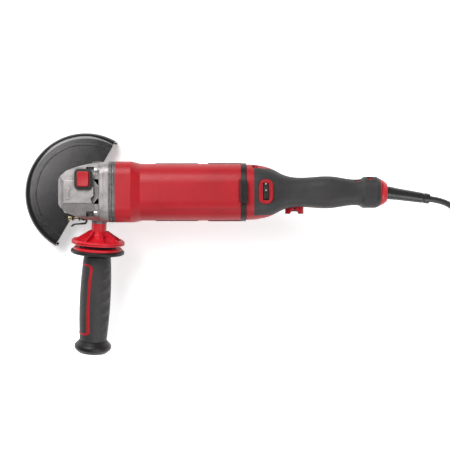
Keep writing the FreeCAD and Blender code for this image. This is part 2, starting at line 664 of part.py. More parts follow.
def make_clamp_nut():
    """Round nut with two pairs of spanner holes."""
    bore = SPINDLE_THREAD_R + RUN
    top = -PILOT_H - SLIP
    profile = [(bore, top), (FLANGE_R - 1, top), (FLANGE_R, top - 1), (FLANGE_R, top - NUT_PLATE_T),
               (NUT_HUB_R, top - NUT_PLATE_T), (NUT_HUB_R, top - NUT_T + 0.8),
               (NUT_HUB_R - 0.8, top - NUT_T), (bore, top - NUT_T)]
    holes = []
    for i in range(4):
        angle = math.radians(45 + 90 * i)
        at = V(SPANNER_PITCH_R * math.cos(angle), SPANNER_PITCH_R * math.sin(angle), -FAR)
        holes.append(rod(at, Z_AXIS, SPANNER_HOLE_R, 2 * FAR))
    return lathe(profile).cut(holes)


# ---------------------------------------------------------------- guard
band_inner = NECK_R + SLIP
band_outer = band_inner + BAND_T
bolt_y = -(band_outer + 5.2)
bolt_z = GUARD_TOP + 3.4
lever_z = (bolt_z - LEVER_T / 2, bolt_z + LEVER_T / 2)
pivot_x = EAR_X[1] + EAR_T + CAM_R + 0.15


def make_guard_shell():
    """Half-circle sheet guard: flat plate, rounded shoulder, skirt with a rolled edge."""
    outer = guard_r
    profile = [(band_inner, GUARD_TOP), (outer, GUARD_TOP), (outer, floor_z),
               (outer - GUARD_T, floor_z), (outer - GUARD_T, GUARD_TOP - GUARD_T),
               (band_inner, GUARD_TOP - GUARD_T)]
    shell = lathe(profile, [0, 7.0, 0.8, 0.8, 7.0 - GUARD_T, 0], 180.0)
    disc = tube(V(0, 0, GUARD_TOP - GUARD_T), Z_AXIS, band_outer + 5, band_inner, GUARD_T)
    roll = lathe([(outer - 3.4, floor_z), (outer, floor_z), (outer, floor_z + 2.4),
                  (outer - 3.4, floor_z + 2.4)], 1.1, 180.0)
    step = lathe([(outer - 15, GUARD_TOP - 0.6), (outer - 12.4, GUARD_TOP - 0.6),
                  (outer - 13.2, GUARD_TOP + 0.8), (outer - 14.2, GUARD_TOP + 0.8)], 0, 180.0)
    lip = block(0, outer - 7, -0.2, GUARD_T - 0.2, GUARD_TOP - 5.2, GUARD_TOP - 0.6)
    lip = lip.cut(rod(V(0, 0, 0), Z_AXIS, band_outer + 4.8, 60))
    far_lip = lip.mirror(V(0, 0, 0), X_AXIS)
    shell = joined([shell, roll, step, lip, far_lip])
    return joined([turned(shell, GUARD_START), disc])


def make_guard_band():
    """Band welded on the guard, closed round the neck by the clamp bolt."""
    band = tube(V(0, 0, GUARD_TOP), Z_AXIS, band_outer, band_inner, BAND_H)
    ears = []
    for x in EAR_X:
        ears.append(block(x, x + EAR_T, bolt_y - 3.6, -(band_inner - 2.5), GUARD_TOP + 0.4,
                          GUARD_TOP + BAND_H - 0.4))
    band = joined([band] + ears)
    gap = block(EAR_X[0] + EAR_T, EAR_X[1], -FAR, -5, GUARD_TOP + SLIP, GUARD_TOP + BAND_H + 1)
    inside = rod(V(0, 0, 0), Z_AXIS, band_inner, 60)
    bolt_hole = rod(V(-FAR, bolt_y, bolt_z), X_AXIS, BOLT_R + 0.1, 2 * FAR)
    seat = tube(V(0, 0, GUARD_TOP), Z_AXIS, band_outer, band_inner, SLIP)
    return joined([band.cut([gap, inside, bolt_hole]), seat])


def make_clamp_bolt():
    """Plated bolt through the band's ears, ending in an eye for the lever pin."""
    start = EAR_X[0] - 4.4
    shank_end = pivot_x - CAM_R - 0.1
    shank = rod(V(start, bolt_y, bolt_z), X_AXIS, BOLT_R, shank_end - start)
    tongue = block(shank_end - 1.0, pivot_x, bolt_y - BOLT_R * 0.7, bolt_y + BOLT_R * 0.7,
                   bolt_z - TONGUE_T / 2, bolt_z + TONGUE_T / 2)
    head = rod(V(start, bolt_y, bolt_z), X_AXIS, 3.2, 2.6)
    nut = rod(V(EAR_X[0] - 1.8, bolt_y, bolt_z), X_AXIS, 3.0, 1.8)
    eye = rod(V(pivot_x, bolt_y, bolt_z - TONGUE_T / 2), Z_AXIS, 2.8, TONGUE_T)
    return joined([shank, head, nut, tongue, eye]).cut(rod(V(pivot_x, bolt_y, 0), Z_AXIS, PIVOT_R, 60))


def make_clamp_lever():
    """Quick-action lever: a cam round its pin and a tail that curls along the band."""
    cam = rod(V(pivot_x, bolt_y, lever_z[0]), Z_AXIS, CAM_R, LEVER_T)
    mid_y = bolt_y - 5.0
    root = -bolt_y - band_outer - 0.3
    tail = rounded_wire([
        V(pivot_x + 3.4, bolt_y, lever_z[0]), V(pivot_x + 1.6, mid_y - 0.6, lever_z[0]),
        V(EAR_X[0] + 1.0, mid_y - 2.2, lever_z[0]), V(EAR_X[0] - 2.0, mid_y - 5.0, lever_z[0]),
        V(EAR_X[0] - 0.6, mid_y - 6.0, lever_z[0]), V(EAR_X[0] + 3.2, mid_y - 3.6, lever_z[0]),
        V(pivot_x + 3.6, mid_y - 3.0, lever_z[0]), V(pivot_x + root, bolt_y, lever_z[0]),
    ], [0, 1.0, 3.0, 0.6, 0.6, 3.0, 3.6, 0])
    tail = Part.Face(tail).extrude(V(0, 0, LEVER_T))
    lever = joined([cam, tail])
    slot_half = (TONGUE_T + SLIP) / 2
    slot = rod(V(pivot_x, bolt_y, bolt_z - slot_half), Z_AXIS, CAM_R + 0.5, 2 * slot_half)
    reach = block(pivot_x - 8, pivot_x, bolt_y - 4.4, bolt_y + 6, bolt_z - slot_half,
                  bolt_z + slot_half)
    pin = rod(V(pivot_x, bolt_y, 0), Z_AXIS, PIVOT_R + RUN, 60)
    return lever.cut([slot, reach, pin])


def make_lever_pin():
    """Pin of the clamp lever."""
    return rod(V(pivot_x, bolt_y, lever_z[0] - 0.4), Z_AXIS, PIVOT_R, LEVER_T + 0.8)


# ---------------------------------------------------------------- spindle lock
cap_bottom = lock_floor + LOCK_TRAVEL + 0.5
cap_top = AXIS_H + HEAD_HALF_H + 6.2
bezel_bottom = AXIS_H + HEAD_HALF_H + 0.4


def make_lock_bezel():
    """Raised dark frame round the lock button."""
    frame = pad_z(BUTTON_AT[0], BUTTON_AT[1], BEZEL_SIZE[0] / 2, BEZEL_SIZE[1] / 2, 4.2,
                  bezel_bottom, bezel_bottom + 2.6)
    crown = pad_z(BUTTON_AT[0], BUTTON_AT[1], BEZEL_SIZE[0] / 2 - 1.2, BEZEL_SIZE[1] / 2 - 1.2, 3.0,
                  bezel_bottom + 2.6, bezel_bottom + 3.4)
    hole = pad_z(BUTTON_AT[0], BUTTON_AT[1], BUTTON_SIZE[0] / 2 + SLIP, BUTTON_SIZE[1] / 2 + SLIP,
                 2.3, 0, FAR)
    return joined([frame, crown]).cut(hole)


def make_lock_button():
    """Red cap with a dished top."""
    cap = pad_z(BUTTON_AT[0], BUTTON_AT[1], BUTTON_SIZE[0] / 2, BUTTON_SIZE[1] / 2, 2.0,
                cap_bottom, cap_top)
    cap = cap.makeFillet(1.0, [edge for edge in cap.Edges
                               if min(v.Z for v in edge.Vertexes) > cap_top - 0.01])
    dish = Part.makeSphere(60, V(BUTTON_AT[0], BUTTON_AT[1], cap_top + 60 - 0.5))
    socket = rod(V(LOCK_AT[0], LOCK_AT[1], cap_bottom), Z_AXIS, LOCK_PIN_R, 4)
    return cap.cut([dish, socket])


def make_lock_pin():
    """Steel pin that drops into the gear."""
    bottom = GEAR_WEB_TOP + 1.6
    return rod(V(LOCK_AT[0], LOCK_AT[1], bottom), Z_AXIS, LOCK_PIN_R, cap_bottom + 4 - bottom)


def make_lock_spring():
    """Return spring of the lock button, drawn closed up, as it is when the button is down."""
    coils = []
    wire_r = 0.5
    count = 4
    for i in range(count):
        ring = Part.makeTorus(3.6, wire_r, V(LOCK_AT[0], LOCK_AT[1],
                              cap_bottom - wire_r - i * 1.0), Z_AXIS)
        coils.append(ring)
    return coils


# ---------------------------------------------------------------- motor
step_end = plate_rear + MOTOR_STEP_L
taper_end = step_end + MOTOR_TAPER_L
vent_x = (taper_end + 16.0, taper_end + 63.0)
arm_x = motor_rear - 36.5
fan_x = plate_rear + FAN_FROM_PLATE


def motor_hull(grow, x0=plate_rear, x1=motor_rear):
    """Outside of the motor housing, or an offset of it."""
    front = bar_x(x0, step_end, MOTOR_FRONT_HALF[0] + grow, MOTOR_FRONT_HALF[1] + grow, 15 + grow)
    taper = Part.makeLoft([
        across(step_end, MOTOR_FRONT_HALF[0] + grow, MOTOR_FRONT_HALF[1] + grow, 15 + grow),
        across(taper_end, MOTOR_HALF[0] + grow, MOTOR_HALF[1] + grow, MOTOR_CORNER + grow),
    ], True, True)
    barrel = bar_x(taper_end, x1, MOTOR_HALF[0] + grow, MOTOR_HALF[1] + grow, MOTOR_CORNER + grow)
    return joined([front, taper, barrel])


def make_motor_housing():
    """Red one-piece housing with a raised panel on top, side recesses and a bearing spider."""
    outer = motor_hull(0)
    panel_x = (taper_end + 22.4, motor_rear)
    lifted = bar_x(panel_x[0], panel_x[1], MOTOR_HALF[0] + PANEL_LIFT, MOTOR_HALF[1] + PANEL_LIFT,
                   MOTOR_CORNER + PANEL_LIFT)
    window = pad_z((panel_x[0] + panel_x[1]) / 2, 0, (panel_x[1] - panel_x[0]) / 2, 19, 7,
                   AXIS_H, FAR)
    outer = joined([outer, lifted.common(window)])
    shell = outer.cut(motor_hull(-MOTOR_WALL, plate_rear - 1, motor_rear + 1))
    spider_x = rear_bearing_x - 3.0
    spider = bar_x(spider_x, spider_x + 3, MOTOR_HALF[0] - 1, MOTOR_HALF[1] - 1, MOTOR_CORNER - 1)
    windows = []
    for i in range(4):
        sector = lathe([(REAR_BEARING[1] + 5, -1), (MOTOR_HALF[0] - 5, -1),
                        (MOTOR_HALF[0] - 5, 5), (REAR_BEARING[1] + 5, 5)], 0, 62)
        windows.append(on_motor_axis(turned(sector, 14 + 90 * i), spider_x))
    boss = rod(V(spider_x, 0, AXIS_H), X_AXIS, REAR_BEARING[1] + 3.2, REAR_BEARING[2] + 3.0)
    ribs = []
    for i in range(4):
        rib = block(STACK_X + 3, stack_end - 3, -3, 3, STATOR_R, MOTOR_HALF[1] - 1)
        ribs.append(turned(placed_up(rib), 90 * i, V(0, 0, AXIS_H), X_AXIS))
    inner = joined([spider.cut(windows), boss])
    shell = joined([shell, inner] + ribs)
    bore_start = spider_x + 3.0
    cutters = [
        rod(V(bore_start, 0, AXIS_H), X_AXIS, REAR_BEARING[1], REAR_BEARING[2] + 1),
        rod(V(spider_x - 1, 0, AXIS_H), X_AXIS, REAR_BEARING[0] + 2.2, 20),
    ]
    for side in (1, -1):
        for x0, x1 in (vent_x, (arm_x, motor_rear + 1)):
            y0, y1 = sorted((side * (MOTOR_HALF[0] - SIDE_BAND_DEPTH), side * FAR))
            cutters.append(block(x0, x1, y0, y1, AXIS_H - SIDE_BAND_HALF, AXIS_H + SIDE_BAND_HALF))
        for i in range(7):
            x = vent_x[0] + 4 + i * (vent_x[1] - vent_x[0] - 10) / 6
            y0, y1 = sorted((side * (MOTOR_HALF[0] - 8), side * FAR))
            cutters.append(block(x, x + 2.4, y0, y1, AXIS_H - 9.5, AXIS_H + 9.5))
    cutters.append(block(motor_rear - 2.4, motor_rear + 1, -LATCH_SIZE[1] / 2 - 0.6,
                         LATCH_SIZE[1] / 2 + 0.6, AXIS_H + MOTOR_HALF[1] - 0.8, FAR))
    return shell.cut(cutters)


def placed_up(shape):
    """A shape drawn about the motor axis as Z 0, lifted to its height."""
    copy = shape.copy()
    copy.translate(V(0, 0, AXIS_H))
    return copy


def make_vent_grilles():
    """Black louvred grilles in the side recesses of the motor housing."""
    grilles = []
    for side in (1, -1):
        y_in = MOTOR_HALF[0] - SIDE_BAND_DEPTH
        y_out = MOTOR_HALF[0] + 0.5
        frame = block(vent_x[0] + 0.2, vent_x[1] - 0.2, y_in, y_out,
                      AXIS_H - SIDE_BAND_HALF + 0.2, AXIS_H + SIDE_BAND_HALF - 0.2)
        slots = []
        count = 12
        pitch = (vent_x[1] - vent_x[0] - 5.0) / count
        for i in range(count):
            x = vent_x[0] + 3.2 + i * pitch
            slots.append(block(x, x + pitch * 0.5, y_in - 1, y_out + 1, AXIS_H - 9.4, AXIS_H + 9.4))
        grille = frame.cut(slots)
        if side < 0:
            grille = grille.mirror(V(0, 0, 0), Y_AXIS)
        grilles.append(grille)
    return grilles


def make_filter_frame():
    """Black ring between motor housing and handle, with an arm along each side."""
    ring = bar_x(motor_rear + 0.1, ring_rear, MOTOR_HALF[0] + 0.7, MOTOR_HALF[1] + 0.9,
                 MOTOR_CORNER + 0.8)
    ring = ring.cut(bar_x(motor_rear - 1, ring_rear + 1, MOTOR_HALF[0] - 2.8, MOTOR_HALF[1] - 2.8,
                          MOTOR_CORNER - 2.8))
    arms = []
    for side in (1, -1):
        y0, y1 = sorted((side * (MOTOR_HALF[0] - SIDE_BAND_DEPTH), side * (MOTOR_HALF[0] + 0.7)))
        arm = block(arm_x + 0.2, motor_rear + 0.3, y0, y1, AXIS_H - SIDE_BAND_HALF + 0.2,
                    AXIS_H + SIDE_BAND_HALF - 0.2)
        ribs = []
        for i in range(9):
            x = arm_x + 4 + i * 3.2
            y2, y3 = sorted((side * (MOTOR_HALF[0] - 0.2), side * FAR))
            ribs.append(block(x, x + 1.4, y2, y3, AXIS_H - 9, AXIS_H + 9))
        arms.append(arm.cut(ribs))
    groove = block(motor_rear - 1, ring_rear - 1.0, -LATCH_SIZE[1] / 2 + 2.6,
                   LATCH_SIZE[1] / 2 - 2.6, AXIS_H + MOTOR_HALF[1] - 1.0, FAR)
    return joined([ring] + arms).cut(groove)


def make_filter_latch():
    """Rectangular slider on top that holds the filter frame."""
    x0 = motor_rear - 0.9
    z0 = AXIS_H + MOTOR_HALF[1] + 0.9 + SLIP
    body = pad_z(x0 + LATCH_SIZE[0] / 2, 0, LATCH_SIZE[0] / 2, LATCH_SIZE[1] / 2, 1.4, z0,
                 z0 + LATCH_SIZE[2] - 1.2)
    body = body.makeFillet(0.6, [edge for edge in body.Edges
                                 if min(v.Z for v in edge.Vertexes) > z0 + LATCH_SIZE[2] - 1.3])
    tongue = block(motor_rear + 0.4, ring_rear - 1.0 - LATCH_TRAVEL - SLIP, -LATCH_SIZE[1] / 2 + 3.0,
                   LATCH_SIZE[1] / 2 - 3.0, AXIS_H + MOTOR_HALF[1] - 0.6, z0 + 1)
    grips = []
    for i in range(3):
        x = x0 + 1.8 + i * 1.9
        grips.append(block(x, x + 0.8, -8.5, 8.5, z0 + LATCH_SIZE[2] - 1.7, FAR))
    return joined([body, tongue]).cut(grips)


def make_air_baffle():
    """Ring that guides the air into the fan."""
    collar_end = STACK_X - FIELD_COIL_REACH - 0.5
    x0 = max(fan_x + FAN_T + 2.0, collar_end - 3.4)
    outer = bar_x(x0, x0 + 2.0, MOTOR_HALF[0] - MOTOR_WALL - 0.4, MOTOR_HALF[1] - MOTOR_WALL - 0.4,
                  MOTOR_CORNER - MOTOR_WALL)
    hole = rod(V(x0 - 10, 0, AXIS_H), X_AXIS, ARMATURE_R + 4.0, 40)
    collar = tube(V(x0, 0, AXIS_H), X_AXIS, ARMATURE_R + 6.0, ARMATURE_R + 4.0, collar_end - x0)
    return joined([outer.cut(hole), collar])


def make_stator_core():
    """Laminated stator pack with two pole shoes."""
    body = rod(V(STACK_X, 0, AXIS_H), X_AXIS, STATOR_R, STACK_L)
    bore = rod(V(STACK_X - 1, 0, AXIS_H), X_AXIS, ARMATURE_R + AIR_GAP, STACK_L + 2)
    pockets = []
    for side in (1, -1):
        pockets.append(on_motor_axis(turned(
            lathe([(ARMATURE_R - 1, -1), (STATOR_R - 4.5, -1), (STATOR_R - 4.5, STACK_L + 1),
                   (ARMATURE_R - 1, STACK_L + 1)], 0, 64), 58 if side > 0 else 238), STACK_X))
    return body.cut([bore] + pockets)


def make_field_coils():
    """Two field coils, saddle-shaped, in the pockets between the pole shoes."""
    coils = []
    reach = FIELD_COIL_REACH
    inner_r = ARMATURE_R + 1.6
    outer_r = STATOR_R - 5.0
    for side in (0, 180):
        coil = lathe([(inner_r, -reach), (outer_r, -reach), (outer_r, STACK_L + reach),
                      (inner_r, STACK_L + reach)], 1.2, 168)
        coil = turned(coil, 6 + side)
        hole = lathe([(inner_r - 2, -0.4), (outer_r + 2, -0.4), (outer_r + 2, STACK_L + 0.4),
                      (inner_r - 2, STACK_L + 0.4)], 0, 122.6)
        hole = turned(hole, 28.7 + side)
        keep = lathe([(inner_r - 2, -reach - 1), (outer_r + 2, -reach - 1),
                      (outer_r + 2, STACK_L + reach + 1), (inner_r - 2, STACK_L + reach + 1)], 0, 160)
        keep = turned(keep, 10 + side)
        coil = coil.cut(hole).common(keep)
        coils.append(on_motor_axis(turned(coil, 90), STACK_X))
    return coils


def make_armature_shaft():
    """Armature shaft, stepped for the pinion, both bearings and the commutator."""
    nose = GEAR_PITCH_R - TOOTH_FACE - 1.5
    front = HEAD_REAR + front_bearing[2] + 0.4
    end = rear_bearing_x + REAR_BEARING[2] + 1.0
    pinion_back = GEAR_PITCH_R + 2.4 * 2 * pinion_pitch_r / PINION_TEETH
    profile = [(0, nose), (pinion_bore_r, nose), (pinion_bore_r, pinion_back),
               (SHAFT_R, pinion_back), (SHAFT_R, front), (SHAFT_R + 0.8, front),
               (SHAFT_R + 0.8, rear_bearing_x), (REAR_BEARING[0], rear_bearing_x),
               (REAR_BEARING[0], end), (0, end)]
    return on_motor_axis(lathe(profile))


def make_armature_core():
    """Laminated armature pack with winding slots."""
    pack = tube(V(0, 0, 0), Z_AXIS, ARMATURE_R, SHAFT_R + 0.8, STACK_L)
    slots = []
    for i in range(12):
        slot = block(ARMATURE_R - 7.5, ARMATURE_R + 1, -1.2, 1.2, -1, STACK_L + 1)
        slots.append(turned(slot, 30 * i))
    return on_motor_axis(pack.cut(slots), STACK_X)


def make_armature_windings():
    """End turns at both ends of the armature pack, tied to the commutator risers."""
    front = lathe([(SHAFT_R + 0.8, -9), (ARMATURE_R - 3.4, -9), (ARMATURE_R - 1.2, 0),
                   (SHAFT_R + 0.8, 0)], [0, 3, 0, 0])
    rear = lathe([(SHAFT_R + 0.8, STACK_L), (ARMATURE_R - 1.2, STACK_L),
                  (ARMATURE_R - 3.4, STACK_L + 8), (COMMUTATOR_R - 1, STACK_L + 11),
                  (SHAFT_R + 0.8, STACK_L + 11)], [0, 0, 3, 0, 0])
    return [on_motor_axis(front, STACK_X), on_motor_axis(rear, STACK_X)]


def make_commutator():
    """Copper bars on an insulating sleeve."""
    bars = tube(V(0, 0, 0), Z_AXIS, COMMUTATOR_R, SHAFT_R + 0.8, COMMUTATOR_L)
    slots = []
    for i in range(24):
        slots.append(turned(block(COMMUTATOR_R - 1.0, COMMUTATOR_R + 1, -0.25, 0.25, 1.5,
                                  COMMUTATOR_L + 1), 15 * i))
    return on_motor_axis(bars.cut(slots), commutator_x)


def make_cooling_fan():
    """Radial fan behind the bearing plate."""
    bore = SHAFT_R + 0.8
    back = lathe([(bore, 0), (FAN_R, 0), (FAN_R, 1.8), (bore + 5, 3.6), (bore + 5, FAN_T),
                  (bore, FAN_T)])
    blades = []
    for i in range(11):
        blade = block(bore + 6, FAN_R - 0.5, -0.8, 0.8, 1.0, FAN_T)
        blade.rotate(V(bore + 6, 0, 0), Z_AXIS, 24)
        blades.append(turned(blade, i * 360.0 / 11))
    rim = rod(V(0, 0, 0), Z_AXIS, FAN_R, FAN_T)
    return on_motor_axis(joined([back] + [blade.common(rim) for blade in blades]), fan_x)


def brush_side(shape, side):
    """A brush part drawn for the -Y side, or its mirror image on the +Y side."""
    return shape if side < 0 else shape.mirror(V(0, 0, 0), Y_AXIS)


def make_brush_parts():
    """Holders, carbon brushes and brush springs, one of each on both sides of the commutator."""
    half_x = BRUSH_SIZE[0] / 2
    half_z = BRUSH_SIZE[1] / 2
    wall = 1.4
    reach_in = COMMUTATOR_R + 1.5
    reach_out = MOTOR_HALF[0] - MOTOR_WALL - 2.0
    holders = []
    brushes = []
    springs = []
    for side in (1, -1):
        holder = block(brush_x - half_x - wall, brush_x + half_x + wall, -reach_out, -reach_in,
                       AXIS_H - half_z - wall, AXIS_H + half_z + wall)
        holder = holder.cut(block(brush_x - half_x - 0.1, brush_x + half_x + 0.1, -reach_out + wall,
                                  -reach_in + 1, AXIS_H - half_z - 0.1, AXIS_H + half_z + 0.1))
        brush = block(brush_x - half_x, brush_x + half_x, -COMMUTATOR_R - 11.0, -reach_in + 3,
                      AXIS_H - half_z, AXIS_H + half_z)
        brush = brush.cut(rod(V(brush_x - 20, 0, AXIS_H), X_AXIS, COMMUTATOR_R + 0.1, 40))
        coil = []
        first = COMMUTATOR_R + 11.5
        room = reach_out - wall - first - 0.5
        for i in range(4):
            coil.append(Part.makeTorus(2.2, 0.4, V(brush_x, -(first + room * i / 3), AXIS_H), Y_AXIS))
        holders.append(brush_side(holder, side))
        brushes.append(brush_side(brush, side))
        springs += [brush_side(ring, side) for ring in coil]
    return holders, brushes, springs


# ---------------------------------------------------------------- rear handle
strip_line = (                  # edge of the red strip: station, height above the motor axis
    (grip_start - 1.0, 23.0),
    (grip_start + 11.0, 20.5),
    (grip_start + 24.0, 13.5),
    (slim_start + 4.0, 8.0),
    (slim_end - 20.0, 5.5),
)
first_screw_x = dial_x - DIAL_AXLE_L / 2 - SEAM_BOSS_R - 0.8
seam_screws = (                 # station and height above the motor axis
    (first_screw_x, 19.0),
    (first_screw_x, -19.0),
    (slim_start + 29.0, -12.5),
    (slim_end - 5.0, 11.0),
    (slim_end + 8.8, 13.0),
)
rocker_y = -ROCKER_DEPTH
dial_top = AXIS_H + 30.4
dial_z = dial_top + 2.6 - DIAL_R
root_start = slim_end + 3.0
boot_unit = unit(BOOT_DIRECTION)
boot_base = V(gland_end - 1.0, 0, AXIS_H)
cord_exit = boot_base + boot_unit * (BOOT_L + 1.0)


def handle_hull(shrink):
    """Outside of the rear handle, or an inward offset of it."""
    sections = (
        (rear_start, 30.8, 31.0, 21.0),
        (grip_start, 30.5, 30.7, 20.8),
        (rear_start + 17.5, 29.2, 29.6, 19.8),
        (rear_start + 24.5, 27.4, 28.2, 18.4),
        (rear_start + 31.5, 24.5, 26.5, 16.4),
        (rear_start + 38.0, 20.9, 24.8, 14.4),
        (slim_start, 17.4, 23.2, 13.0),
        (slim_start + 24.0, 16.8, 22.4, 12.6),
        (slim_end - 23.0, 16.2, 20.6, 12.2),
        (slim_end + 1.0, 15.2, 18.8, 11.6),
    )
    body = Part.makeLoft([across(x, y - shrink, z - shrink, r - shrink * 0.8)
                          for x, y, z, r in sections], True, False, False, LOFT_DEGREE)
    collar_sections = (
        (slim_end, 15.2, 18.8, 11.6),
        (slim_end + 3.0, 17.3, 20.4, 12.6),
        (shell_end - 6.0, 17.3, 20.4, 12.6),
        (shell_end, 14.4, 16.2, 11.6),
    )
    collar = Part.makeLoft([across(x, y - shrink, z - shrink, r - shrink * 0.8)
                            for x, y, z, r in collar_sections], True, True)
    return joined([body, collar])


def handle_zones():
    """Where the rubber covers the shells, and the two red strips that it leaves open."""
    cover = block(grip_start, shell_end - 1.6, -FAR, FAR, -FAR, FAR)
    edge = [V(x, 0, AXIS_H + height) for x, height in strip_line]
    edge += [V(x, 0, AXIS_H - height) for x, height in reversed(strip_line)]
    outline = Part.Face(rounded_wire(edge, [0, 8, 14, 20, 2.5, 2.5, 20, 14, 8, 0]))
    strips = []
    for side in (1, -1):
        strip = outline.extrude(V(0, side * FAR, 0))
        strip.translate(V(0, side * 8.0, 0))
        strips.append(strip)
    return cover.cut(strips)


def half_space(side):
    """Everything on the +Y or the -Y side of the seam."""
    y0, y1 = sorted((0, side * FAR))
    return block(0, 2 * FAR, y0, y1, -FAR, FAR)


def handle_cutters():
    """Openings for the dial and the switch, and the pockets for the screws."""
    cutters = [
        pad_z(dial_x, 0, 8.2, 13.8, 7.5, AXIS_H + 20.0, FAR),
        rod(V(switch_x, -8.0, AXIS_H), -Y_AXIS, SWITCH_R + 0.1, 40),
    ]
    for x, height in seam_screws:
        cutters.append(rod(V(x, 6.0, AXIS_H + height), Y_AXIS, SCREW_POCKET_R, FAR))
        cutters.append(rod(V(x, -9.0, AXIS_H + height), Y_AXIS, HANDLE_SCREW_R, 30))
    return cutters


def make_handle_parts():
    """Two shells that meet on the centre plane, and the rubber moulded over each."""
    outer = handle_hull(0)
    middle = handle_hull(GRIP_T)
    inner = handle_hull(SHELL_WALL)
    hollow = inner.common(block(rear_start - 1, shell_end - 3.0, -FAR, FAR, -FAR, FAR))
    hollow = joined([hollow, bar_x(rear_start - 9, rear_start + 0.5, 30.8 - SHELL_WALL,
                                   31.0 - SHELL_WALL, 18.3)])
    rubber = outer.cut(middle).common(handle_zones())
    spigot = bar_x(motor_rear - 6.0, rear_start + 1.0, MOTOR_HALF[0] - MOTOR_WALL - SLIP,
                   MOTOR_HALF[1] - MOTOR_WALL - SLIP, MOTOR_CORNER - MOTOR_WALL)
    spigot = spigot.cut(bar_x(motor_rear - 7.0, rear_start + 1.5, 30.8 - SHELL_WALL - 0.2,
                              31.0 - SHELL_WALL - 0.2, 18.1))
    bosses = []
    for x, height in seam_screws:
        bosses.append(rod(V(x, -FAR, AXIS_H + height), Y_AXIS, SEAM_BOSS_R, 2 * FAR).common(middle))
    wall = joined([outer.cut(hollow), spigot] + bosses).cut(rubber)
    wall = wall.cut(rod(V(root_start - 1, 0, AXIS_H), X_AXIS, 6.1, 60))
    wall = wall.cut(rod(V(shell_end - 2.0, 0, AXIS_H), X_AXIS, 9.2, 60))
    cutters = handle_cutters()
    shells = [wall.common(half_space(side)).cut(cutters) for side in (1, -1)]
    grips = [rubber.common(half_space(side)).cut(cutters) for side in (1, -1)]
    return shells, grips


def make_handle_screws():
    """Identical screws that close the shells."""
    return [screw(V(x, 6.2, AXIS_H + height), -Y_AXIS, HANDLE_SCREW_R, 14.0, 3.3, 2.2)
            for x, height in seam_screws]


def make_dial_bezel():
    """Red oval frame round the speed dial."""
    bezel = pad_z(dial_x, 0, 8.1, 13.65, 7.4, AXIS_H + 24.5, dial_top - 1.2)
    crown = pad_z(dial_x, 0, 7.3, 12.85, 6.6, dial_top - 1.2, dial_top)
    bezel = joined([bezel, crown])
    room = rod(V(dial_x - DIAL_T / 2 - 0.6, 0, dial_z), X_AXIS, DIAL_R + 0.6, DIAL_T + 1.2)
    dish = pad_z(dial_x, 0, 5.6, 11.2, 5.0, dial_top - 0.9, FAR)
    return bezel.cut([room, dish])


def make_speed_dial():
    """Thumb-wheel with a ribbed rim and an axle."""
    wheel = rod(V(-DIAL_T / 2, 0, 0), X_AXIS, DIAL_R, DIAL_T)
    notches = []
    for i in range(28):
        angle = 2 * math.pi * i / 28
        at = V(-DIAL_T, (DIAL_R + 0.35) * math.cos(angle), (DIAL_R + 0.35) * math.sin(angle))
        notches.append(rod(at, X_AXIS, 0.75, 2 * DIAL_T))
    axle = rod(V(-DIAL_AXLE_L / 2, 0, 0), X_AXIS, DIAL_AXLE_R, DIAL_AXLE_L)
    dial = joined([wheel.cut(notches), axle])
    dial.translate(V(dial_x, 0, dial_z))
    return dial


def make_speed_controller():
    """Electronics box with two cheeks that carry the dial's axle."""
    box = block(dial_x - 12, dial_x + 16, -12, 12, AXIS_H - 6, dial_z - DIAL_R - 1.6)
    cheeks = []
    for side in (1, -1):
        x0, x1 = sorted((dial_x + side * (DIAL_T / 2 + 0.9), dial_x + side * (DIAL_T / 2 + 2.7)))
        cheeks.append(block(x0, x1, -4.5, 4.5, AXIS_H - 3, dial_z + 2.8))
    bore = rod(V(dial_x - 20, 0, dial_z), X_AXIS, DIAL_AXLE_R + RUN, 40)
    return joined([box] + cheeks).cut(bore)


def make_switch_bezel():
    """Red collar that keeps the rocker from being pressed by accident."""
    collar = tube(V(switch_x, -12.0, AXIS_H), -Y_AXIS, SWITCH_R, ROCKER_R + 0.5, 12.0)
    collar = collar.cut(rod(V(switch_x, -25.2, AXIS_H - 30), Z_AXIS, 5.3, 60))
    pins = rod(V(switch_x, rocker_y, AXIS_H - 30), Z_AXIS, ROCKER_PIN_R + RUN, 60)
    return collar.cut(pins)


def make_rocker():
    """Round rocker with a dished face, on a pin parallel to the spindle."""
    ball = Part.makeSphere(ROCKER_R, V(switch_x, rocker_y, AXIS_H))
    slab = block(switch_x - 20, switch_x + 20, rocker_y - 4.0, rocker_y + 2.2, 0, FAR)
    pin = rod(V(switch_x, rocker_y, AXIS_H - 9.0), Z_AXIS, ROCKER_PIN_R, 18.0)
    dish = rod(V(switch_x, rocker_y - 18.6, AXIS_H - 30), Z_AXIS, 15.6, 60)
    return joined([ball.common(slab).cut(dish), pin])


def make_switch_body():
    """Snap-action switch behind the rocker."""
    body = block(switch_x - 13, switch_x + 13, -11.6, 4.0, AXIS_H - 8.5, AXIS_H + 8.5)
    tabs = []
    for x in (-8.0, 0.0, 8.0):
        tabs.append(block(switch_x + x - 2.4, switch_x + x + 2.4, 3.5, 9.5, AXIS_H - 0.4,
                          AXIS_H + 0.4))
    return joined([body] + tabs)


def make_cord_clamp():
    """Saddle and bar that grip the cord inside the collar."""
    x0 = root_start + 2.0
    x1 = x0 + 8.0
    channel = rod(V(x0 - 1, 0, AXIS_H), X_AXIS, 6.0, 10)
    saddle = block(x0, x1, -10.5, 10.5, AXIS_H - CLAMP_HALF_H, AXIS_H - 0.6).cut(channel)
    bar = block(x0, x1, -10.5, 10.5, AXIS_H + 0.6, AXIS_H + CLAMP_HALF_H).cut(channel)
    holes = [rod(V((x0 + x1) / 2, y, AXIS_H - 30), Z_AXIS, 1.2, 60) for y in (8.4, -8.4)]
    return saddle.cut(holes), bar.cut(holes)


